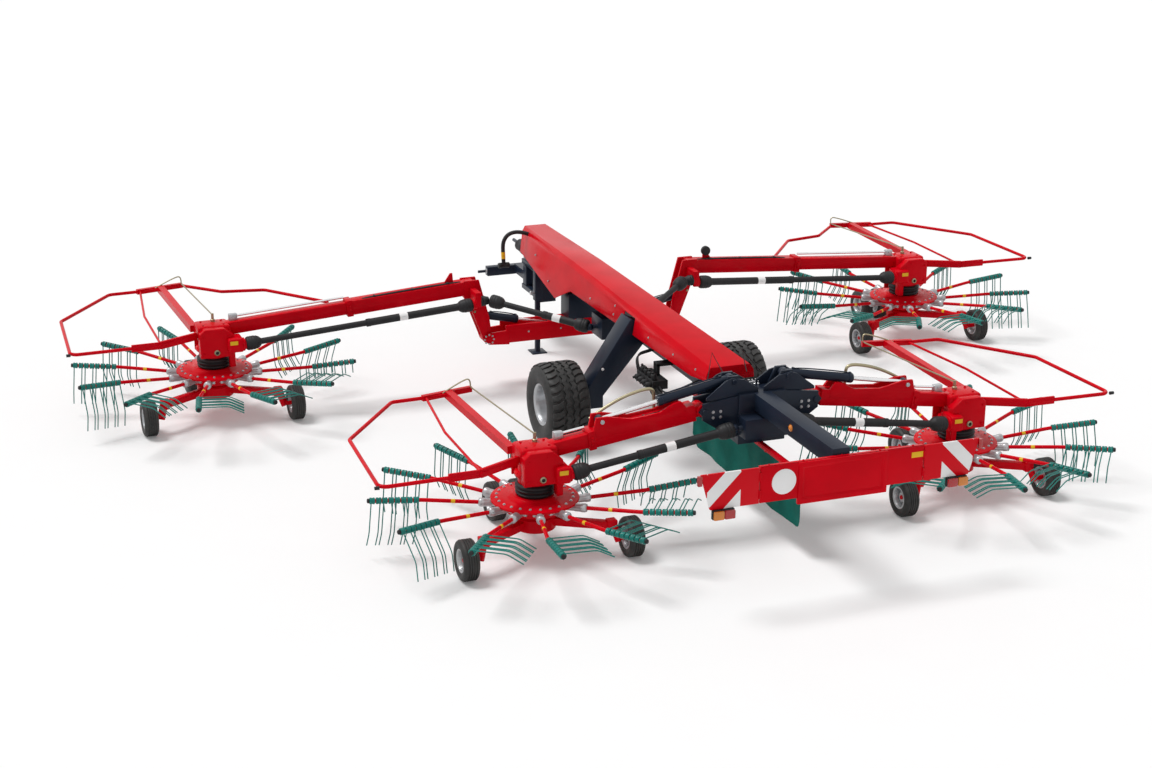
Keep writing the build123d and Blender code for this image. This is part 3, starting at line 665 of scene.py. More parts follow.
def rotor(name):
    hub_x, hub_y = HUBS[name]
    body = name + "_rotor"
    centre = (hub_x, hub_y, 0.0)
    arms = rotor_arms(name)
    dish = [(0.095, 0.45), (0.30, 0.45), (0.305, 0.52), (0.41, 0.545), (DISH_R + 0.012, 0.552),
            (DISH_R + 0.016, 0.562)]
    dish += [(DISH_R + 0.012, 0.573), (0.41, 0.578), (0.40, 0.581), (0.30, 0.587), (0.24, 0.596),
             (0.225, 0.607), (0.215, 0.610)]
    dish += [(0.185, 0.610), (0.18, 0.595), (0.095, 0.592), (0.095, 0.45)]
    pan = spun(name + "_dish", dish, centre, (0, 0, 1), 72)
    ring = on_ring((hub_x, hub_y, 0.5815), 0.38, 24, "z", 4.0)
    bolts = copies(bolt_head(0.012, 0.010), [Matrix.Translation(place) for place in ring])
    fitted(pan, body, "red", body)
    bolts.name = name + "_dish_bolts"
    fitted(bolts, body, "silver")

    housing = [(0.020, 0.0), (0.037, 0.0), (0.037, 0.19), (0.041, 0.205), (0.041, 0.265), (0.045, 0.272),
               (0.045, 0.310), (0.039, 0.322), (0.030, 0.326), (0.0205, 0.33)]
    socket = spun(name + "_housings", housing, arm_point(0.232), ARM_TILT @ Vector((1.0, 0.0, 0.0)), 16)
    web = slab("web", (0.25, -0.014, 0.525), (0.41, 0.014, 0.553), 0.003)
    clamp = slab("clamp", (0.27, -0.055, 0.485), (0.33, 0.055, 0.535), 0.006)
    casting = joined(name + "_housings", [socket, web, clamp])
    fitted(copies(casting, [matrix for matrix, roll in arms]), body, "silver", body)

    root = arm_point(0.42)
    before = arm_point(ARM_BEND_R - 0.06)
    after = outer_point(0.06)
    tip = outer_point(OUTER_RUN)
    curve = [root, before, arm_point(ARM_BEND_R) * 0.5 + before * 0.25 + after * 0.25, after, tip]
    tubes = [moved(matrix, curve) for matrix, roll in arms]
    fitted(round_bars(name + "_arms", tubes, ARM_TUBE_R, 12), body, "red", body)
    band = [arm_point(0.79), arm_point(0.83)]
    bands = [moved(matrix, band) for matrix, roll in arms]
    fitted(round_bars(name + "_bands", bands, ARM_TUBE_R + 0.001, 12), body, "yellow")
    cap = [(*outer_point(OUTER_RUN - 0.02), 1.0), (*outer_point(OUTER_RUN), 1.0),
           (*outer_point(OUTER_RUN + 0.005), 0.7)]
    caps = [moved(matrix, cap) for matrix, roll in arms]
    fitted(round_bars(name + "_caps", caps, ARM_TUBE_R + 0.003, 10), body, "plastic")
    coil_runs = []
    leg_runs = []
    for matrix, roll in arms:
        coils, legs = tine_paths(roll)
        coil_runs += [moved(matrix, path) for path in coils]
        leg_runs += [moved(matrix, path) for path in legs]
    coil_mesh = round_bars(name + "_coils", coil_runs, COIL_R, 8)
    leg_mesh = round_bars(name + "_legs", leg_runs, TINE_WIRE / 2, 6)
    fitted(joined(name + "_tines", [coil_mesh, leg_mesh]), body, "green", body)


def bolt_head(radius, height):
    """A hexagon head on its washer."""
    deselect()
    bpy.ops.mesh.primitive_cylinder_add(vertices=6, radius=radius, depth=height,
                                        location=(0, 0, height / 2 + 0.002))
    head = bpy.context.object
    bpy.ops.object.transform_apply(location=True)
    bevelled(head, radius * 0.12, 1)
    bpy.ops.mesh.primitive_cylinder_add(vertices=14, radius=radius * 1.35, depth=0.003,
                                        location=(0, 0, 0.0015))
    washer = bpy.context.object
    bpy.ops.object.transform_apply(location=True)
    return joined("bolt", [head, washer])


# Wheels
def rotor_tyre(name, centre):
    """Tyre with ribbed tread, turned round the x axis."""
    r = ROTOR_TYRE_R
    tread = [(0.114, -0.066), (0.125, -0.071), (0.150, -0.0815), (0.175, -0.0805), (0.192, -0.071),
             (0.200, -0.060)]
    for edge in (-0.052, -0.028, -0.004, 0.020, 0.044):
        tread += [(r - 0.001, edge), (r, edge + 0.004), (r, edge + 0.013), (r - 0.001, edge + 0.016)]
        tread += [(r - 0.008, edge + 0.0175), (r - 0.008, edge + 0.0225)]
    tread = tread[:-2]
    tread += [(0.198, 0.066), (0.190, 0.073), (0.175, 0.0805), (0.150, 0.0815), (0.125, 0.071),
              (0.114, 0.066), (0.106, 0.06), (0.106, -0.06), (0.114, -0.066)]
    return spun(name, tread, centre, (1, 0, 0), 40)


def rotor_rim(name, centre):
    half = [(0.0245, -0.030), (0.052, -0.030), (0.054, -0.020), (0.060, -0.010), (0.088, -0.008),
            (0.092, -0.050)]
    half += [(0.100, -0.064), (0.118, -0.068), (0.120, -0.064), (0.104, -0.058), (0.098, -0.045)]
    rim = spun(name, both_ways(half) + half[:1], centre, (1, 0, 0), 36)
    nuts = []
    for face in (-1, 1):
        turn = Matrix.Rotation(math.radians(90.0 * face), 4, "Y")
        ring = on_ring((centre[0] + face * 0.010, centre[1], centre[2]), 0.072, 5, "x")
        nuts.append(copies(bolt_head(0.008, 0.008), [Matrix.Translation(place) @ turn for place in ring]))
    return joined(name, [rim, *nuts])


def running_gear(name):
    hub_x, hub_y = HUBS[name]
    outward = -1.0 if name.endswith("left") else 1.0
    for kind, side in (("outer", outward), ("inner", -outward)):
        node = name + "_" + kind + "_wheel"
        centre = (hub_x + side * REAR_WHEEL_X, hub_y + REAR_WHEEL_Y, ROTOR_TYRE_R)
        fitted(rotor_tyre(node + "_tyre", centre), node, "rubber", node)
        fitted(rotor_rim(node + "_rim", centre), node, "silver", node)
    node = name + "_castor_wheels"
    centres = [(hub_x + side * CASTOR_TRACK / 2, hub_y + CASTOR_Y, ROTOR_TYRE_R) for side in (-1, 1)]
    tyres = [rotor_tyre(node + "_tyre", centre) for centre in centres]
    fitted(joined(node + "_tyres", tyres), node, "rubber", node)
    rims = [rotor_rim(node + "_rim", centre) for centre in centres]
    fitted(joined(node + "_rims", rims), node, "silver", node)


def road_wheel(side_name):
    side = -1.0 if side_name == "left" else 1.0
    node = side_name + "_road_wheel"
    centre = (side * ROAD_TRACK_HALF, 0.0, ROAD_TYRE_R)
    r = ROAD_TYRE_R - 0.022
    tyre = [(0.232, -0.205), (0.250, -0.222), (0.300, -0.246), (0.350, -0.250), (0.395, -0.243),
            (0.425, -0.228), (r - 0.004, -0.200), (r, -0.150), (r, 0.0)]
    carcass = tyre + [(a, -b) for a, b in reversed(tyre[:-1])]
    carcass += [(0.220, 0.19), (0.220, -0.19), (0.232, -0.205)]
    pieces = [spun(node + "_carcass", carcass, centre, (1, 0, 0), 72)]
    for block, offset in ((tread_lug(-1), 0.0), (tread_lug(1), 6.0), (centre_rib(), 0.0)):
        turns = [Matrix.Rotation(angle, 4, "X") for angle in ring_angles(TREAD_STEPS, offset)]
        pieces.append(copies(block, [Matrix.Translation(centre) @ turn for turn in turns]))
    fitted(joined(node + "_tyre", pieces), node, "rubber", node)
    dish = [(0.060, -0.060), (0.085, -0.060), (0.090, -0.035), (0.130, -0.025), (0.175, -0.040),
            (0.195, -0.075), (0.205, -0.150), (0.212, -0.190), (0.222, -0.205), (0.240, -0.212)]
    dish += [(0.243, -0.206), (0.226, -0.195), (0.220, -0.180), (0.214, -0.10), (0.214, 0.10),
             (0.220, 0.180), (0.226, 0.195), (0.243, 0.206), (0.240, 0.212), (0.222, 0.205)]
    dish += [(0.205, 0.150), (0.195, 0.05), (0.175, 0.0), (0.130, -0.010), (0.060, -0.010),
             (0.060, -0.060)]
    outer = [(a, b * -side) for a, b in dish]
    rim = spun(node + "_rim", outer, centre, (1, 0, 0), 56)
    turn = Matrix.Rotation(math.radians(90.0 * side), 4, "Y")
    ring = on_ring((centre[0] + side * 0.030, 0.0, centre[2]), 0.112, 8, "x")
    nuts = copies(bolt_head(0.013, 0.016), [Matrix.Translation(place) @ turn for place in ring])
    fitted(joined(node + "_rim", [rim, nuts]), node, "silver", node)


def tread_lug(face):
    """One shoulder lug of the tread: a bent block laid on the tyre and keyed at the shoulder."""
    deselect()
    bpy.ops.mesh.primitive_cube_add(size=1.0, location=(0.0, 0.0, 0.0), scale=(0.125, 0.066, 0.026))
    lug = bpy.context.object
    lug.name = "lug"
    bpy.ops.object.transform_apply(location=True, rotation=True, scale=True)
    bpy.ops.object.mode_set(mode="EDIT")
    bpy.ops.mesh.select_all(action="SELECT")
    bpy.ops.mesh.bisect(plane_co=(0.0, 0.0, 0.0), plane_no=(1.0, 0.0, 0.0))
    bpy.ops.mesh.select_all(action="DESELECT")
    bpy.ops.object.mode_set(mode="OBJECT")
    top = ROAD_TYRE_R - 0.0135
    for vertex in lug.data.vertices:
        x, y, z = vertex.co
        reach = x + 0.0625
        lift = -0.34 * max(0.0, reach - 0.075)
        slant = 0.55 * reach if reach < 0.07 else 0.0385
        angle = (y + face * slant) / ROAD_TYRE_R
        radius = top + z + lift
        vertex.co = (face * (0.092 + reach), radius * math.sin(angle), radius * math.cos(angle))
    if face < 0:
        pick(lug)
        bpy.ops.object.mode_set(mode="EDIT")
        bpy.ops.mesh.select_all(action="SELECT")
        bpy.ops.mesh.normals_make_consistent(inside=False)
        bpy.ops.object.mode_set(mode="OBJECT")
    return bevelled(lug, 0.004, 1)


def centre_rib():
    """One step of the two waved centre ribs."""
    parts = []
    step = math.tau * ROAD_TYRE_R / TREAD_STEPS
    for centre in (-0.045, 0.045):
        deselect()
        bpy.ops.mesh.primitive_cube_add(size=1.0, location=(0.0, 0.0, 0.0), scale=(0.052, step, 0.024))
        rib = bpy.context.object
        bpy.ops.object.transform_apply(location=True, rotation=True, scale=True)
        bpy.ops.object.mode_set(mode="EDIT")
        bpy.ops.mesh.select_all(action="SELECT")
        bpy.ops.mesh.bisect(plane_co=(0.0, 0.0, 0.0), plane_no=(0.0, 1.0, 0.0))
        bpy.ops.object.mode_set(mode="OBJECT")
        for vertex in rib.data.vertices:
            x, y, z = vertex.co
            wave = 0.020 if abs(y) < 0.001 else -0.006
            angle = y / ROAD_TYRE_R
            radius = ROAD_TYRE_R - 0.0125 + z
            vertex.co = (centre + x + wave, radius * math.sin(angle), radius * math.cos(angle))
        parts.append(bevelled(rib, 0.003, 1))
    return joined("rib", parts)


for rotor_name in HUBS:
    rotor(rotor_name)
    running_gear(rotor_name)
for side_name in ("left", "right"):
    road_wheel(side_name)


# Booms and carriages
SIDES = {
    "front": {"root": (1.40, 1.27), "tube": (1.40, 2.98), "inner": 2.72, "reach": 4.437, "input": 4.25,
              "drop": 0.15},
    "rear": {"root": (0.62, 1.28), "tube": (0.70, 1.84), "inner": 1.27, "reach": 2.243, "input": 2.09,
             "drop": 0.20},
}
SHAFT_BEHIND = 0.26


def kind_of(name):
    return name.split("_")[0]


def side_of(name):
    return -1.0 if name.endswith("left") else 1.0


def on_boom(name, x, aside=0.0, above=0.0):
    """A point on a boom's centre line, by its distance from the machine's middle."""
    data = SIDES[kind_of(name)]
    root_x, root_z = data["root"]
    slope = (HEAD_Z - root_z) / (data["reach"] - root_x)
    return Vector((side_of(name) * x, HUBS[name][1] + aside, root_z + slope * (x - root_x) + above))


def face_bolts(places, way, radius=0.012):
    """Bolt heads at places, standing out along way."""
    turn = Vector((0, 0, 1)).rotation_difference(Vector(way)).to_matrix().to_4x4()
    return copies(bolt_head(radius, radius * 0.8), [Matrix.Translation(place) @ turn for place in places])


def carriage(name):
    """Telescope tube, rotor head with its input gearbox and mast, guard stay and undercarriage."""
    data = SIDES[kind_of(name)]
    side = side_of(name)
    body = name + "_carriage"
    hub_x, hub_y = HUBS[name]
    tube = beam("tube", on_boom(name, data["inner"]), on_boom(name, data["reach"]), 0.138, 0.148, 0.010)
    crown = (hub_x + 0.19, hub_y + 0.15, HEAD_Z + 0.075)
    casing = slab("casing", (hub_x - 0.19, hub_y - 0.15, HEAD_Z - 0.10), crown, 0.030, 3)
    face = [(-0.19, 0.775), (-0.19, 1.06), (-0.13, 1.115), (0.10, 1.115), (0.21, 1.02), (0.21, 0.645),
            (0.145, 0.645), (0.145, 0.775)]
    outline = [(hub_x - side * u, z) for u, z in face]
    depths = ((-0.245, -0.14), (0.14, 0.165))
    cheeks = [plate("cheek", outline, hub_y + y0, hub_y + y1, 0.008) for y0, y1 in depths]
    collar = [(0.10, 0.735), (0.168, 0.735), (0.172, 0.80), (0.20, 0.81), (0.205, 0.835), (0.195, 0.85),
              (0.17, 0.86), (0.165, 0.97), (0.10, 0.97), (0.10, 0.735)]
    mast = spun("mast", collar, (hub_x, hub_y, 0.0), (0, 0, 1), 40)
    collar_bolts = face_bolts(on_ring((hub_x, hub_y, 0.846), 0.187, 10, "z", 9.0), (0, 0, 1), 0.010)
    input_z = on_boom(name, data["input"]).z - data["drop"]
    shaft_y = hub_y - SHAFT_BEHIND
    inner_x = side * (data["input"] + 0.02)
    outer_x = hub_x - side * 0.12
    low = (inner_x, shaft_y - 0.075, input_z - 0.075)
    gearbox = slab("gearbox", low, (outer_x, hub_y - 0.10, input_z + 0.09), 0.022, 3)
    ring = [(0.03, 0.0), (0.078, 0.0), (0.078, 0.022), (0.062, 0.030), (0.058, 0.055), (0.03, 0.055),
            (0.03, 0.0)]
    flange = spun("flange", ring, (inner_x + side * 0.006, shaft_y, input_z), (-side, 0, 0), 28)
    flange_ring = on_ring((inner_x - side * 0.016, shaft_y, input_z), 0.067, 6, "x")
    flange_bolts = face_bolts(flange_ring, (-side, 0, 0), 0.007)
    cover_holes = ((-0.15, 0.83), (-0.15, 1.03), (0.05, 1.07))
    cover = face_bolts([(hub_x - side * x, hub_y - HEAD_FACE, z) for x, z in cover_holes], (0, -1, 0),
                       0.011)
    top_holes = [(hub_x + x, hub_y + y, HEAD_Z + 0.074) for x in (-0.12, 0.12) for y in (-0.08, 0.08)]
    top = face_bolts(top_holes, (0, 0, 1), 0.012)
    parts = [tube, casing, *cheeks, mast, collar_bolts, gearbox, flange, flange_bolts, cover, top]
    fitted(joined(name + "_head", parts), body, "red", body)

    folds = [(0.12, 0.612), (0.172, 0.613), (0.190, 0.624), (0.194, 0.636), (0.180, 0.650),
             (0.194, 0.664), (0.198, 0.678), (0.184, 0.692), (0.196, 0.706), (0.194, 0.722),
             (0.176, 0.738), (0.12, 0.738), (0.12, 0.612)]
    fitted(spun(name + "_bellows", folds, (hub_x, hub_y, 0.0), (0, 0, 1), 44), body, "plastic", body)
    port = [(0.020, 0.0), (0.034, 0.0), (0.034, 0.012), (0.028, 0.018), (0.020, 0.018), (0.020, 0.0)]
    fitted(spun(name + "_port", port, (hub_x, hub_y - HEAD_FACE, 0.835), (0, -1, 0), 24), body, "zinc")
    core = [(0.0, 0.0), (0.0205, 0.0), (0.0205, 0.006), (0.010, 0.010), (0.0, 0.010)]
    fitted(spun(name + "_port_plug", core, (hub_x, hub_y - HEAD_FACE, 0.835), (0, -1, 0), 16), body,
           "plastic")
    post = [(0.0, 0.0), (0.026, 0.0), (0.026, 0.03), (0.016, 0.036), (0.016, 0.10), (0.0, 0.105)]
    lever = spun("post", post, (hub_x - side * 0.02, hub_y + 0.06, HEAD_Z + 0.07), (0, 0, 1), 16)
    head_top = Vector((hub_x - side * 0.02, hub_y + 0.06, HEAD_Z + 0.155))
    guard_tip = Vector((hub_x - side * 0.01, hub_y + 2.09, HEAD_Z - 0.015))
    stay = round_bars("stay", [[head_top, guard_tip]], 0.008, 8)
    bend = ((0.33, 2.00, 0.02), (0.05, 2.10, 0.12), (-0.02, 2.11, 0.10), (-0.01, 2.09, 0.02))
    hook = round_bars("hook", [[(hub_x + side * x, hub_y + y, GUARD_Z + z) for x, y, z in bend]], 0.008,
                      8, True)
    fitted(joined(name + "_guard_stay", [lever, stay, hook]), body, "zinc")
    knees = ((0.20, -0.08), (0.66, -0.302), (0.98, -0.310))
    root, knee, end = [Vector((hub_x + side * x, hub_y + y, GUARD_Z)) for x, y in knees]
    flats = [beam("flat", root, knee, 0.04, 0.09, 0.008), beam("flat", knee, end, 0.030, 0.085, 0.008)]
    fitted(joined(name + "_guard_flats", flats), body, "red")
    tip = [(hub_x + side * x, hub_y - 0.331, GUARD_Z) for x in (1.66, 1.705)]
    fitted(round_bars(name + "_guard_tip", [[(*tip[0], 1.0), (*tip[1], 0.9)]], 0.019, 12), body,
           "plastic")
    label_x = hub_x - side * 0.185
    low = (label_x - 0.045, hub_y - 0.336, input_z + 0.02)
    label = slab(name + "_label", low, (label_x + 0.045, hub_y - 0.3345, input_z + 0.065), 0.0005)
    fitted(label, body, "yellow")
    undercarriage(name)


def undercarriage(name):
    """The rotor's base with its struts, forks and axles."""
    body = name + "_carriage"
    hub_x, hub_y = HUBS[name]
    parts = []
    beam_z = 0.33
    for flank in (-1.0, 1.0):
        knee = Vector((hub_x + flank * 0.66, hub_y - 0.393, beam_z))
        fork = Vector((hub_x + flank * 0.7225, hub_y + REAR_WHEEL_Y, ROTOR_TYRE_R))
        parts.append(beam("strut", (hub_x, hub_y, beam_z), knee, 0.09, 0.08, 0.010))
        parts.append(beam("fork", knee + Vector((0, 0, 0.035)), fork - Vector((0, 0, 0.03)), 0.08, 0.06,
                          0.010))
        parts.append(slab("knuckle", knee - Vector((0.05, 0.05, 0.052)),
                          knee + Vector((0.05, 0.05, 0.062)), 0.012, 3))
        stub = [(0.0, 0.0), (0.024, 0.0), (0.024, 0.160), (0.020, 0.168), (0.0, 0.168)]
        parts.append(spun("stub", stub, fork, (flank, 0, 0), 16))
    nose = Vector((hub_x, hub_y + CASTOR_Y - 0.26, beam_z))
    foot = Vector((hub_x, hub_y + CASTOR_Y, ROTOR_TYRE_R))
    parts.append(beam("nose", (hub_x, hub_y, beam_z), nose + Vector((0, 0.03, 0)), 0.10, 0.08, 0.010))
    parts.append(beam("tail", nose, foot, 0.06, 0.06, 0.008))
    axle = both_ways([(0.0, -0.165), (0.020, -0.165), (0.024, -0.160)])
    parts.append(spun("axle", axle, foot, (1, 0, 0), 16))
    base = [(0.0, 0.25), (0.19, 0.25), (0.21, 0.262), (0.21, 0.385), (0.195, 0.40), (0.12, 0.405),
            (0.092, 0.44), (0.092, 0.60), (0.0, 0.60)]
    parts.append(spun("base", base, (hub_x, hub_y, 0.0), (0, 0, 1), 40))
    fitted(joined(name + "_undercarriage", parts), body, "red", body)


def boom_trim(name):
    """Collar, bolts, pipe runs and stops on a boom."""
    data = SIDES[kind_of(name)]
    body = name + "_boom"
    end = data["tube"][1]
    collar = beam("collar", on_boom(name, end - 0.075), on_boom(name, end - 0.002), 0.186, 0.196, 0.006)
    pads = []
    for aside in (-0.098, 0.098):
        pads.append(beam("pad", on_boom(name, end - 0.055, aside), on_boom(name, end - 0.020, aside),
                         0.016, 0.09, 0.004))
    heads = face_bolts([on_boom(name, end - 0.038, -0.106, up) for up in (-0.03, 0.03)], (0, -1, 0),
                       0.010)
    fitted(joined(name + "_collar", [collar, *pads, heads]), body, "red")
    line_x = [data["tube"][0] + 0.16, data["tube"][0] + 0.24, end - 0.30, end - 0.20]
    runs = []
    for aside in (-0.05, -0.028):
        runs.append([on_boom(name, x, aside, up) for x, up in zip(line_x, (0.082, 0.094, 0.094, 0.082))])
    fitted(round_bars(name + "_pipes", runs, 0.008, 8, True), body, "plastic")
    clips = []
    half = Vector((0.012, 0.0, 0.0))
    for x in (line_x[1] + 0.08, (line_x[1] + line_x[2]) / 2, line_x[2] - 0.05):
        clips.append(slab("clip", on_boom(name, x, -0.065, 0.086) - half,
                          on_boom(name, x, -0.013, 0.106) + half, 0.003))
    fitted(joined(name + "_clips", clips), body, "plastic")


def slide_rod(name):
    """The chromed rod of the cylinder that shifts a rotor in and out, above its telescope tube."""
    data = SIDES[kind_of(name)]
    path = [on_boom(name, x, 0.03, 0.117) for x in (data["tube"][1] + 0.01, data["reach"] - 0.12)]
    rod = round_bars(name + "_slide_rod", [path], 0.014, 14)
    fitted(rod, name + "_carriage", "chrome")
    eye = slab("eye", path[1] - Vector((0.05, 0.03, 0.072)), path[1] + Vector((0.05, 0.03, 0.03)), 0.010,
               3)
    pin = spun("pin", both_ways([(0.0, -0.045), (0.013, -0.045)]), path[1], (0, 1, 0), 16)
    fitted(joined(name + "_slide_eye", [eye, pin]), name + "_carriage", "silver")


# Drive shafts in their black guards
def shaft(start, end, sleeve_length, overlap, sleeve_node, core_node, sleeve_body, core_body):
    first, last = Vector(start), Vector(end)
    way = (last - first).normalized()
    length = (last - first).length
    bell = [(0.0365, 0.013), (0.056, 0.013), (0.070, 0.020), (0.079, 0.034), (0.082, 0.052),
            (0.0785, 0.060), (0.082, 0.068), (0.082, 0.084), (0.0785, 0.092)]
    bell += [(0.082, 0.100), (0.081, 0.118), (0.0765, 0.126), (0.077, 0.142), (0.066, 0.166),
             (0.056, 0.180), (0.047, 0.188)]
    sleeve = bell + [(0.045, 0.20), (0.045, sleeve_length - 0.05), (0.048, sleeve_length - 0.048)]
    sleeve += [(0.048, sleeve_length - 0.004), (0.044, sleeve_length), (0.0365, sleeve_length),
               (0.0365, 0.013)]
    fitted(spun("dressed_" + sleeve_node, sleeve, first, way, 32), sleeve_body, "plastic", sleeve_node)
    run = length - sleeve_length + overlap
    core = [(0.0, 0.013)] + bell[1:] + [(0.036, 0.20), (0.036, run), (0.0, run)]
    fitted(spun("dressed_" + core_node, core, last, -way, 32), core_body, "plastic", core_node)
    tag_at = first + way * (sleeve_length * 0.62)
    band = [(0.0452, 0.0), (0.0459, 0.0), (0.0459, 0.10), (0.0452, 0.10), (0.0452, 0.0)]
    fitted(spun(sleeve_node + "_tag", band, tag_at, way, 32), sleeve_body, "white")


def boom_shafts(name):
    kind = kind_of(name)
    start_x = {"front": 1.47, "rear": 0.35}[kind]
    drop = SIDES[kind]["drop"]
    start = on_boom(name, start_x, -SHAFT_BEHIND, -drop)
    end = on_boom(name, SIDES[kind]["input"], -SHAFT_BEHIND, -drop)
    nodes = (name + "_shaft_sleeve", name + "_shaft_core")
    if kind == "front":
        shaft(start, end, 1.33, 0.06, *nodes, name + "_boom", name + "_carriage")
        side = side_of(name)
        gear, front = Vector((side * 0.29, 1.13, 0.95)), Vector((side * 1.27, 1.95, 1.15))
        relay = (name + "_relay_sleeve", name + "_relay_core")
        shaft(gear, front, 0.60, 0.07, *relay, *relay)
    else:
        shaft(start, end, 1.05, 0.15, *nodes, *nodes)


for rotor_name in HUBS:
    carriage(rotor_name)
    boom_trim(rotor_name)
    slide_rod(rotor_name)
    boom_shafts(rotor_name)


# Light bar across the rear
def light_bar():
    mid_z = (PANEL_TOP + PANEL_BOTTOM) / 2
    split = BOARD_SPLIT
    back_y = PANEL_Y + 0.025
    edge = split - 0.004
    spine_end = PANEL_HALF - 0.06
    low = (-0.466, PANEL_Y - 0.010, PANEL_BOTTOM - 0.062)
    panel = slab("panel", (-edge, PANEL_Y + 0.004, PANEL_BOTTOM), (edge, back_y, PANEL_TOP), 0.006)
    centre = slab("centre", low, (0.466, back_y + 0.005, PANEL_TOP - 0.001), 0.008)
    pressed_panel(centre)
    spine = slab("spine", (-spine_end, PANEL_Y + 0.020, 1.24), (spine_end, PANEL_Y + 0.06, 1.30), 0.006)
    low = (-edge, PANEL_Y + 0.006, PANEL_TOP - 0.012)
    top_flange = slab("top_flange", low, (edge, PANEL_Y + 0.06, PANEL_TOP), 0.004)
    rivet_holes = [(x, PANEL_Y + 0.04, PANEL_TOP - 0.001) for x in (-0.75, -0.4, 0.0, 0.4, 0.75)]
    rivets = face_bolts(rivet_holes, (0, 0, 1), 0.009)
    hinges = []
    for side in (-1, 1):
        for z in (PANEL_BOTTOM + 0.05, PANEL_TOP - 0.13):
            knuckle = [(0.0, 0.0), (0.013, 0.0), (0.013, 0.08), (0.0, 0.08)]
            hinges.append(spun("hinge", knuckle, (side * split, PANEL_Y + 0.004, z), (0, 0, 1), 14))
    parts = [panel, centre, spine, top_flange, rivets, *hinges]
    fitted(joined("light_bar_panel", parts), "frame", "red", "light_bar")
    for side, name in BOTH_SIDES:
        near, far = side * (split + 0.004), side * PANEL_HALF
        board = slab(name + "_board", (near, PANEL_Y + 0.001, PANEL_BOTTOM), (far, back_y, PANEL_TOP),
                     0.005)
        slanted_end(board, far, -side * BOARD_CUT)
        fitted(board, "frame", name + "_stripes", "light_bar")
        low = (far - side * 0.012, PANEL_Y - 0.012, PANEL_TOP - 0.105)
        high = (far + side * 0.030, PANEL_Y + 0.026, PANEL_TOP - 0.008)
        fitted(slab(name + "_end_reflector", low, high, 0.006), "frame", "lens_red")
        lamp(name, side)
    sign = [(0.0, 0.0), (0.122, 0.0), (0.124, 0.002), (0.124, 0.005), (0.122, 0.006), (0.0, 0.006)]
    fitted(spun("round_sign", sign, (-0.61, PANEL_Y + 0.006, mid_z + 0.008), (0, -1, 0), 48), "frame",
           "white")
    low, high = (0.72, PANEL_Y + 0.0025, PANEL_TOP - 0.11), (0.85, PANEL_Y + 0.0042, PANEL_TOP - 0.055)
    fitted(slab("bar_label", low, high, 0.0004), "frame", "yellow")


def slanted_end(board, end_x, shift):
    """Draws the lower corner of a board's outer end inwards."""
    for vertex in board.data.vertices:
        if abs(vertex.co.x - end_x) < 0.01:
            share = (PANEL_TOP - vertex.co.z) / (PANEL_TOP - PANEL_BOTTOM)
            vertex.co.x += shift * share


def lamp(name, side):
    """Amber and red lamp in one black base, hung under a board's end."""
    outer, middle, inner = side * 1.33, side * 1.22, side * 1.11
    low, high = PANEL_BOTTOM - 0.095, PANEL_BOTTOM - 0.0005
    base = slab(name + "_lamp_base", (outer, PANEL_Y - 0.020, low), (inner, PANEL_Y + 0.024, high), 0.008,
                3)
    fitted(base, "frame", "plastic", "lamps")
    for glass, near, far in (("amber", outer, middle), ("lens_red", middle, inner)):
        corner = (near - side * 0.002, PANEL_Y - 0.050, low + 0.003)
        across = (far + side * 0.002, PANEL_Y - 0.018, high - 0.006)
        fitted(slab(name + "_" + glass + "_glass", corner, across, 0.012, 3), "frame", glass, "lamps")


def pressed_panel(panel):
    """Presses a shallow field into the middle of the rear panel by insetting its outer face."""
    pick(panel)
    for face in panel.data.polygons:
        face.select = face.normal.y < -0.99 and face.area > 0.1
    bpy.ops.object.mode_set(mode="EDIT")
    bpy.ops.mesh.select_mode(type="FACE")
    bpy.ops.mesh.inset(thickness=0.034, depth=0.0)
    bpy.ops.mesh.inset(thickness=0.006, depth=-0.003)
    bpy.ops.mesh.inset(thickness=0.020, depth=-0.015)
    bpy.ops.mesh.inset(thickness=0.006, depth=-0.002)
    bpy.ops.mesh.select_mode(type="VERT")
    bpy.ops.object.mode_set(mode="OBJECT")


light_bar()


# Swath curtain on its red rail
def curtain():
    front, rear, low, high = -1.30, -3.87, 0.30, 0.86
    columns, rows = 96, 18
    deselect()
    bpy.ops.mesh.primitive_grid_add(x_subdivisions=columns, y_subdivisions=rows, size=1.0,
                                    location=(0.0, 0.0, 0.0))
    cloth = bpy.context.object
    cloth.name = "curtain_cloth"
    for vertex in cloth.data.vertices:
        along = vertex.co.x + 0.5
        rise = vertex.co.y + 0.5
        y = rear + (front - rear) * along
        corner = max(0.0, 0.10 - (y - rear))
        floor_z = low + max(0.0, y + 1.42) + 0.10 - math.sqrt(0.10 ** 2 - corner ** 2)
        z = floor_z + (high - floor_z) * rise
        hang = 1.0 - rise
        fold = 0.012 * math.sin(along * 17.0 + 0.8 * math.sin(along * 7.0))
        ripple = 0.003 * math.sin(along * 47.0)
        vertex.co = (hang * (fold + ripple), y, z)
    thick = cloth.modifiers.new("thickness", "SOLIDIFY")
    thick.thickness = 0.003
    thick.offset = 0.0
    pick(cloth)
    bpy.ops.object.modifier_apply(modifier=thick.name)
    fitted(cloth, "frame", "cloth", "swath_curtain", smooth=60.0)
    bar = slab("rail", (-0.025, -3.90, 0.855), (0.025, -1.27, 0.905), 0.006)
    hangers = [slab("hanger", (-0.02, y - 0.03, 0.90), (0.02, y + 0.03, 1.08), 0.004)
               for y in (-1.5, -2.3)]
    clamp_y = [-3.75 + 0.34 * index for index in range(8)]
    clamps = [slab("clamp", (-0.012, y - 0.02, 0.835), (0.012, y + 0.02, 0.86), 0.003) for y in clamp_y]
    fitted(joined("curtain_rail", [bar, *hangers, *clamps]), "frame", "red", "swath_curtain")


curtain()


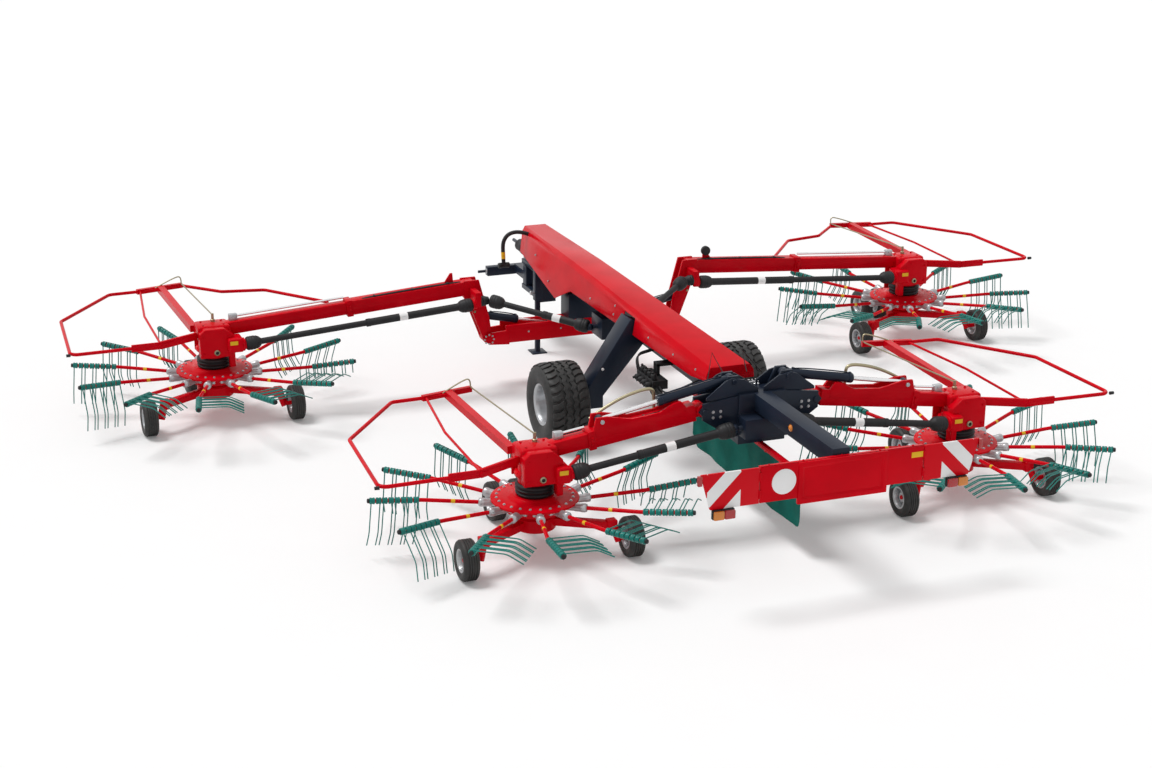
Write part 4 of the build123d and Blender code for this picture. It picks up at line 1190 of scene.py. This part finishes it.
# Folding cylinders
RAMS = {
    "front": {"pin": (1.275, 0.89), "eye": (0.40, 0.70), "barrel": 0.46},
    "rear": {"pin": (0.30, 1.56), "eye": (1.70, 1.295), "barrel": 0.80},
}
PIN_HEAD = 0.012


def ram(name):
    """Folding cylinder: barrel with gland and feed pipe, chromed rod and eye."""
    data = RAMS[kind_of(name)]
    side = side_of(name)
    y = HUBS[name][1]
    pin = Vector((side * data["pin"][0], y, data["pin"][1]))
    eye = Vector((side * data["eye"][0], y, data["eye"][1]))
    way = (eye - pin).normalized()
    length = (eye - pin).length
    gland = data["barrel"]
    shell = [(0.0, 0.034), (0.040, 0.034), (0.048, 0.044), (0.048, gland - 0.052),
             (0.0525, gland - 0.050), (0.0525, gland - 0.008), (0.047, gland)]
    shell += [(0.0245, gland), (0.0245, gland - 0.02), (0.0, gland - 0.02)]
    barrel = spun("barrel", shell, pin, way, 32)
    lug = spun("lug", closed_ring(0.0225, 0.050, 0.032), pin, (0, 1, 0), 28)
    rise = way.cross(Vector((0, -1, 0))).normalized()
    if rise.z < 0.0:
        rise = -rise
    feed = ((0.10, 0.045), (0.11, 0.062), (gland - 0.06, 0.062), (gland - 0.04, 0.048))
    pipe = round_bars("pipe", [[pin + way * along + rise * out for along, out in feed]], 0.007, 8, True)
    stud = [(0.0, 0.0), (0.016, 0.0), (0.016, 0.022), (0.0, 0.024)]
    bosses = [spun("boss", stud, pin + way * along + rise * 0.04, rise, 12)
              for along in (0.10, gland - 0.035)]
    body = name + "_cylinder_barrel"
    fitted(joined(name + "_ram_barrel", [barrel, lug, pipe, *bosses]), body, "navy", body)
    body = name + "_cylinder_rod"
    bar = [(0.0, gland - 0.03), (0.0238, gland - 0.03), (0.0238, length - 0.03), (0.0, length - 0.03)]
    fitted(spun(name + "_ram_rod", bar, pin, way, 28), body, "chrome", body)
    end = spun(name + "_ram_eye", closed_ring(0.020, 0.042, 0.032), eye, (0, 1, 0), 28)
    fitted(end, body, "navy", body)


def round_pin(name, place, half, radius):
    """A pin along the machine with a wider head at each end."""
    end = -half - PIN_HEAD
    rim = radius * 1.4
    profile = [(0.0, end), (radius * 1.3, end), (rim, -half - PIN_HEAD * 0.6), (rim, -half),
               (radius, -half)]
    return spun(name, both_ways(profile), place, (0, 1, 0), 24)


def front_knuckle(name):
    """Hinge pin and bolts, relay seat, roller bracket and riser bolts of a front boom."""
    side = side_of(name)
    boom = name + "_boom"
    y = HUBS[name][1]
    hinge = Vector((side * 1.23, y, 0.61))
    fitted(round_pin(name + "_hinge_pin", hinge, 0.133, 0.022), "frame", "red")
    bolts = on_ring(hinge - Vector((0.0, 0.134, 0.0)), 0.058, 8, "y")
    bolts += [Vector((side * x, y - 0.13, 0.66)) for x in (0.30, 0.72)]
    fitted(face_bolts(bolts, (0, -1, 0), 0.009), "frame", "silver").name = name + "_hinge_bolts"
    seat = [(0.0, 0.0), (0.064, 0.0), (0.068, 0.02), (0.058, 0.034), (0.066, 0.050), (0.056, 0.066)]
    seat += [(0.046, 0.108), (0.0, 0.110)]
    boot = spun(name + "_relay_seat", seat, (side * 1.392, y - 0.27, 1.15), (-side, 0, 0), 24)
    fitted(boot, boom, "plastic")
    foot = on_boom(name, 1.70, 0.0, 0.085)
    fin = slab("fin", foot + Vector((-0.06, -0.012, -0.004)), foot + Vector((0.06, 0.012, 0.12)), 0.004)
    for vertex in fin.data.vertices:
        if vertex.co.z > foot.z + 0.05:
            vertex.co.x = foot.x + (vertex.co.x - foot.x) * 0.25 - side * 0.035
    fitted(fin, boom, "red").name = name + "_roller_bracket"
    if side > 0:
        wheel = both_ways([(0.0, -0.03), (0.045, -0.03), (0.058, -0.02)])
        roller = spun(name + "_roller", wheel, foot + Vector((-0.035, -0.045, 0.115)), (0, 1, 0), 28)
        fitted(roller, boom, "plastic")
    riser = [on_boom(name, 1.40, -0.10, z) for z in (-0.30, -0.15)]
    fitted(face_bolts(riser, (0, -1, 0), 0.011), boom, "zinc").name = name + "_riser_bolts"


def rear_knuckle(name):
    """Hinge pin, cylinder tower, wing bolts, latch tube and eye pin of a rear boom."""
    side = side_of(name)
    boom = name + "_boom"
    y = HUBS[name][1]
    hinge = Vector((side * 0.62, y, 1.28))
    fitted(round_pin(name + "_hinge_pin", hinge, 0.133, 0.024), "frame", "navy")
    sloped = [(0.03, 1.40), (0.03, 1.47), (0.19, 1.575), (0.33, 1.600), (0.40, 1.575), (0.60, 1.42),
              (0.60, 1.39)]
    outline = [(side * x, z) for x, z in sloped]
    depths = ((-0.118, -0.098), (0.098, 0.118))
    towers = [plate("tower", outline, y + y0, y + y1, 0.004) for y0, y1 in depths]
    towers.append(round_pin("tower_pin", Vector((side * 0.30, y, 1.56)), 0.118, 0.020))
    fitted(joined(name + "_tower", towers), "frame", "navy")
    bolts = [Vector((side * x, y - 0.134, z)) for x in (0.45, 0.53) for z in (1.215, 1.275)]
    fitted(face_bolts(bolts, (0, -1, 0), 0.012), "frame", "silver").name = name + "_wing_bolts"
    bent = [(1.76, 1.27), (1.62, 1.36), (1.40, 1.46), (1.20, 1.51), (1.09, 1.51), (1.07, 1.44),
            (1.07, 1.29)]
    tube = [Vector((side * x, y + 0.115, z)) for x, z in bent]
    fitted(round_bars(name + "_latch", [tube], 0.017, 10, True), boom, "zinc")
    eye_x, eye_z = RAMS["rear"]["eye"]
    eye_pin = round_pin(name + "_eye_pin", Vector((side * eye_x, y, eye_z)), 0.085, 0.016)
    fitted(eye_pin, boom, "silver")


# Small parts on the frame
def hood_screws():
    """Screw heads along both flanks of the hood."""
    holes = [(3.2, 1.30), (2.6, 1.12), (1.2, 1.28), (0.45, 1.40)]
    holes += [(0.45, 1.30), (-0.6, 1.33), (-1.3, 1.35), (-1.9, 1.37)]
    places = []
    for side in (-1, 1):
        heads = []
        for y, z in holes:
            back = (HOOD_FRONT - y) / HOOD_LENGTH
            top_half = 0.15 + 0.07 * back
            top = 1.51 - 0.04 * back
            share = (z - 0.90) / (top - 0.06 - 0.90)
            heads.append(Vector((side * (0.33 + (top_half + 0.045 - 0.33) * share), y, z)))
        places.append(face_bolts(heads, (side, 0, 0.25), 0.010))
    fitted(joined("hood_screws", places), "frame", "silver")


def front_arm():
    """Bent black hose arm at the front of the hood, with a cross end and a plain yellow band."""
    bend = ((-0.12, 1.43), (-0.24, 1.49), (-0.42, 1.50), (-0.52, 1.40), (-0.52, 1.22), (-0.51, 1.08))
    tube = round_bars("front_arm", [[(x, 3.66, z) for x, z in bend]], 0.026, 12, True)
    cross = both_ways([(0.0, -0.075), (0.030, -0.075), (0.036, -0.065), (0.036, -0.03), (0.030, -0.02)])
    foot = spun("foot", cross, (-0.51, 3.66, 1.07), (1, 0, 0), 20)
    fitted(joined("front_arm", [tube, foot]), "frame", "plastic")
    band = [(-0.519, 3.66, 1.25), (-0.515, 3.66, 1.16)]
    fitted(round_bars("front_arm_band", [band], 0.0275, 12), "frame", "yellow")


def valve_block():
    """Hydraulic valve block with its coils and pipes, hung under the beam behind the axle."""
    parts = [slab("valves", (-0.42, -1.12, 0.90), (-0.24, -0.66, 1.00), 0.006)]
    coil = [(0.0, 0.0), (0.030, 0.0), (0.034, 0.01), (0.034, 0.070), (0.026, 0.080), (0.014, 0.085),
            (0.014, 0.105), (0.0, 0.105)]
    for y in (-1.06, -0.96, -0.86, -0.76):
        parts.append(spun("coil", coil, (-0.40, y, 0.95), (-1, 0, 0), 16))
        parts.append(spun("coil", coil, (-0.37, y, 0.99), (-0.3, 0, 1), 16))
        parts.append(spun("coil", coil, (-0.33, y - 0.04, 0.91), (0, 0, -1), 16))
    parts.append(slab("hanger", (-0.30, -0.94, 0.98), (-0.26, -0.84, 1.13), 0.005))
    parts.append(slab("bracket", (-0.30, -0.94, 1.10), (-0.09, -0.84, 1.14), 0.005))
    drop = [(-0.34, -1.10, 0.95), (-0.36, -1.20, 0.92), (-0.36, -1.40, 0.95), (-0.24, -1.55, 1.06),
            (-0.11, -1.62, 1.14)]
    for shift in (0.0, 0.03, 0.06, 0.09):
        line = [(x - shift, y + shift * 0.3, z - shift * 0.6) for x, y, z in drop]
        parts.append(round_bars("line", [line], 0.010, 8, True))
    rise = [(-0.40, -0.72, 0.98), (-0.42, -0.66, 1.10), (-0.34, -0.52, 1.14), (-0.20, -0.46, 1.14),
            (-0.11, -0.44, 1.15)]
    for shift in (0.0, 0.035):
        line = [(x, y + shift, z - shift) for x, y, z in rise]
        parts.append(round_bars("line", [line], 0.010, 8, True))
    fitted(joined("valve_block", parts), "frame", "plastic")
    stem = [(0.0, 0.0), (0.013, 0.0), (0.013, 0.02), (0.009, 0.024), (0.009, 0.045), (0.0, 0.048)]
    unions = []
    for x in (-0.06, -0.02, 0.02, 0.06):
        for y in (-2.66, -2.72):
            unions.append(spun("union", stem, (x, y, 1.428), (0, 0, 1), 10))
    fitted(joined("top_unions", unions), "frame", "chrome")


def frame_trim():
    """Side markers, hose stays and leg caps, one of each to a side."""
    lens_rim = [(0.0, 0.0), (0.034, 0.0), (0.034, 0.010), (0.026, 0.018), (0.012, 0.023), (0.0, 0.024)]
    for side, name in BOTH_SIDES:
        fitted(spun(name + "_marker", lens_rim, (side * 0.0895, -3.78, 1.345), (side, 0, 0), 24), "frame",
               "amber")
        stay = [(side * 0.31, -2.30, 1.40), (side * 0.17, -2.08, 1.60), (side * 0.13, -2.30, 1.43)]
        fitted(round_bars(name + "_hose_stay", [stay], 0.006, 8), "frame", "plastic")
        cap = [(0.0, 0.0), (0.016, 0.0), (0.016, 0.008), (0.010, 0.012), (0.0, 0.012)]
        fitted(spun(name + "_leg_cap", cap, (side * 0.62, -0.140, 0.86), (0, -1, 0), 16), "frame",
               "white")


def front_trim():
    """The drive guard, link collars, bolts and the stand's knob at the front end."""
    cone = [(0.062, 0.0), (0.085, 0.0), (0.090, 0.010), (0.082, 0.10), (0.078, 0.20), (0.081, 0.21),
            (0.081, 0.23), (0.074, 0.235), (0.070, 0.20), (0.062, 0.02), (0.062, 0.0)]
    fitted(spun("drive_guard", cone, (0.0, 4.24, 1.095), (0, 1, 0), 36), "frame", "plastic")
    bolts = []
    plate_rows = (0.11, (3.50, 3.62), (0.70, 1.00), 0.014)
    box_rows = (0.09, (3.92, 4.05), (1.03, 1.15), 0.009)
    for half, rows, heights, size in (plate_rows, box_rows):
        for side in (-1, 1):
            holes = [(side * half, y, z) for y in rows for z in heights]
            bolts.append(face_bolts(holes, (side, 0, 0), size))
    fitted(joined("nose_bolts", bolts), "frame", "silver")
    for side, name in BOTH_SIDES:
        collar = [(0.019, 0.0), (0.036, 0.0), (0.036, 0.014), (0.030, 0.020), (0.019, 0.020),
                  (0.019, 0.0)]
        fitted(spun(name + "_link_collar", collar, (side * 0.438, 4.59, 0.74), (side, 0, 0), 24),
               "headstock", "silver")
    knob = [(0.0, 0.0), (0.014, 0.0), (0.014, 0.030), (0.024, 0.034), (0.026, 0.050), (0.020, 0.058),
            (0.0, 0.060)]
    fitted(spun("stand_knob", knob, (-0.2545, 3.205, 0.80), (-1, 0, 0), 20), "frame", "silver")


for rotor_name in HUBS:
    ram(rotor_name)
    if kind_of(rotor_name) == "front":
        front_knuckle(rotor_name)
    else:
        rear_knuckle(rotor_name)
front_trim()
hood_screws()
front_arm()
valve_block()
frame_trim()


# Frame, hood and booms: the solids, with their edges rounded
for node_name in ("main_frame", "axle_legs", "headstock", "parking_stand"):
    body_name = node_name if node_name in ("headstock", "parking_stand") else "frame"
    softened(node_name, body_name, "navy")
softened("front_crossbeam", "frame", "red", 0.004)
softened("hood", "frame", "red", 0.004, fold_front)
for rotor_name in HUBS:
    softened(rotor_name + "_boom", rotor_name + "_boom", "red")
    repainted(rotor_name + "_guard", "red")


# Floor, light and camera
SKY_FILL = 0.50
KEY_WAY = (-0.35, 0.25, 0.9)
KEY_ENERGY = 1.98
KEY_SPREAD = 22.0
FLOOR_GLOW = 0.10
CAMERA_LENS = 62.95
CAMERA_SENSOR = 36.0
CAMERA_AZIMUTH = -20.723
CAMERA_ELEVATION = 18.861
CAMERA_ROLL = 0.363
CAMERA_TARGET = (-0.815, 0.19, 0.6)
CAMERA_DISTANCE = 22.996


def floor():
    deselect()
    bpy.ops.mesh.primitive_plane_add(size=160.0, location=(0.0, 20.0, 0.0))
    ground = bpy.context.object
    ground.name = "floor"
    finish, tree, shader = new_finish("pale floor", specular=0.1)
    place = tree.nodes.new("ShaderNodeTexCoord").outputs["Object"]
    speck = noise(tree, place, 1.5)
    tone = mix_colour(tree, speck, (0.84, 0.84, 0.84, 1.0), (0.86, 0.86, 0.86, 1.0))
    tree.links.new(tone, shader.inputs["Base Color"])
    shader.inputs["Roughness"].default_value = 0.9
    glow = tree.nodes.new("ShaderNodeLightPath")
    shader.inputs["Emission Color"].default_value = (1.0, 1.0, 1.0, 1.0)
    lift = math_node(tree, "MULTIPLY", glow.outputs["Is Camera Ray"], FLOOR_GLOW)
    tree.links.new(lift, shader.inputs["Emission Strength"])
    ground.data.materials.append(finish)


def sky():
    world = bpy.data.worlds.new("studio")
    bpy.context.scene.world = world
    world.use_nodes = True
    tree = world.node_tree
    background = tree.nodes["Background"]
    background.inputs["Color"].default_value = (1.0, 1.0, 1.0, 1.0)
    path = tree.nodes.new("ShaderNodeLightPath")
    seen = math_node(tree, "MAXIMUM", path.outputs["Is Camera Ray"], path.outputs["Is Glossy Ray"])
    seen = math_node(tree, "MAXIMUM", seen, path.outputs["Is Transmission Ray"])
    tree.links.new(math_node(tree, "MULTIPLY_ADD", seen, 1.0 - SKY_FILL, SKY_FILL),
                   background.inputs["Strength"])


def sun():
    lamp = bpy.data.lights.new("key", "SUN")
    lamp.energy = KEY_ENERGY
    lamp.angle = math.radians(KEY_SPREAD)
    thing = bpy.data.objects.new("key", lamp)
    bpy.context.scene.collection.objects.link(thing)
    thing.matrix_world = Vector(KEY_WAY).to_track_quat("Z", "Y").to_matrix().to_4x4()


def camera():
    lens_box = bpy.data.cameras.new("camera")
    lens_box.lens = CAMERA_LENS
    lens_box.sensor_width = CAMERA_SENSOR
    thing = bpy.data.objects.new("camera", lens_box)
    bpy.context.scene.collection.objects.link(thing)
    azimuth = math.radians(CAMERA_AZIMUTH)
    elevation = math.radians(CAMERA_ELEVATION)
    level = Vector((math.sin(azimuth), -math.cos(azimuth), 0.0))
    back = level * math.cos(elevation) + Vector((0.0, 0.0, math.sin(elevation)))
    right = Vector((math.cos(azimuth), math.sin(azimuth), 0.0))
    upward = back.cross(right)
    roll = math.radians(CAMERA_ROLL)
    level_x = right * math.cos(roll) + upward * math.sin(roll)
    level_y = upward * math.cos(roll) - right * math.sin(roll)
    turn = Matrix((level_x, level_y, back)).transposed().to_4x4()
    thing.matrix_world = Matrix.Translation(Vector(CAMERA_TARGET) + back * CAMERA_DISTANCE) @ turn
    bpy.context.scene.camera = thing


floor()
sky()
sun()
camera()
bpy.context.scene.view_settings.view_transform = "Standard"
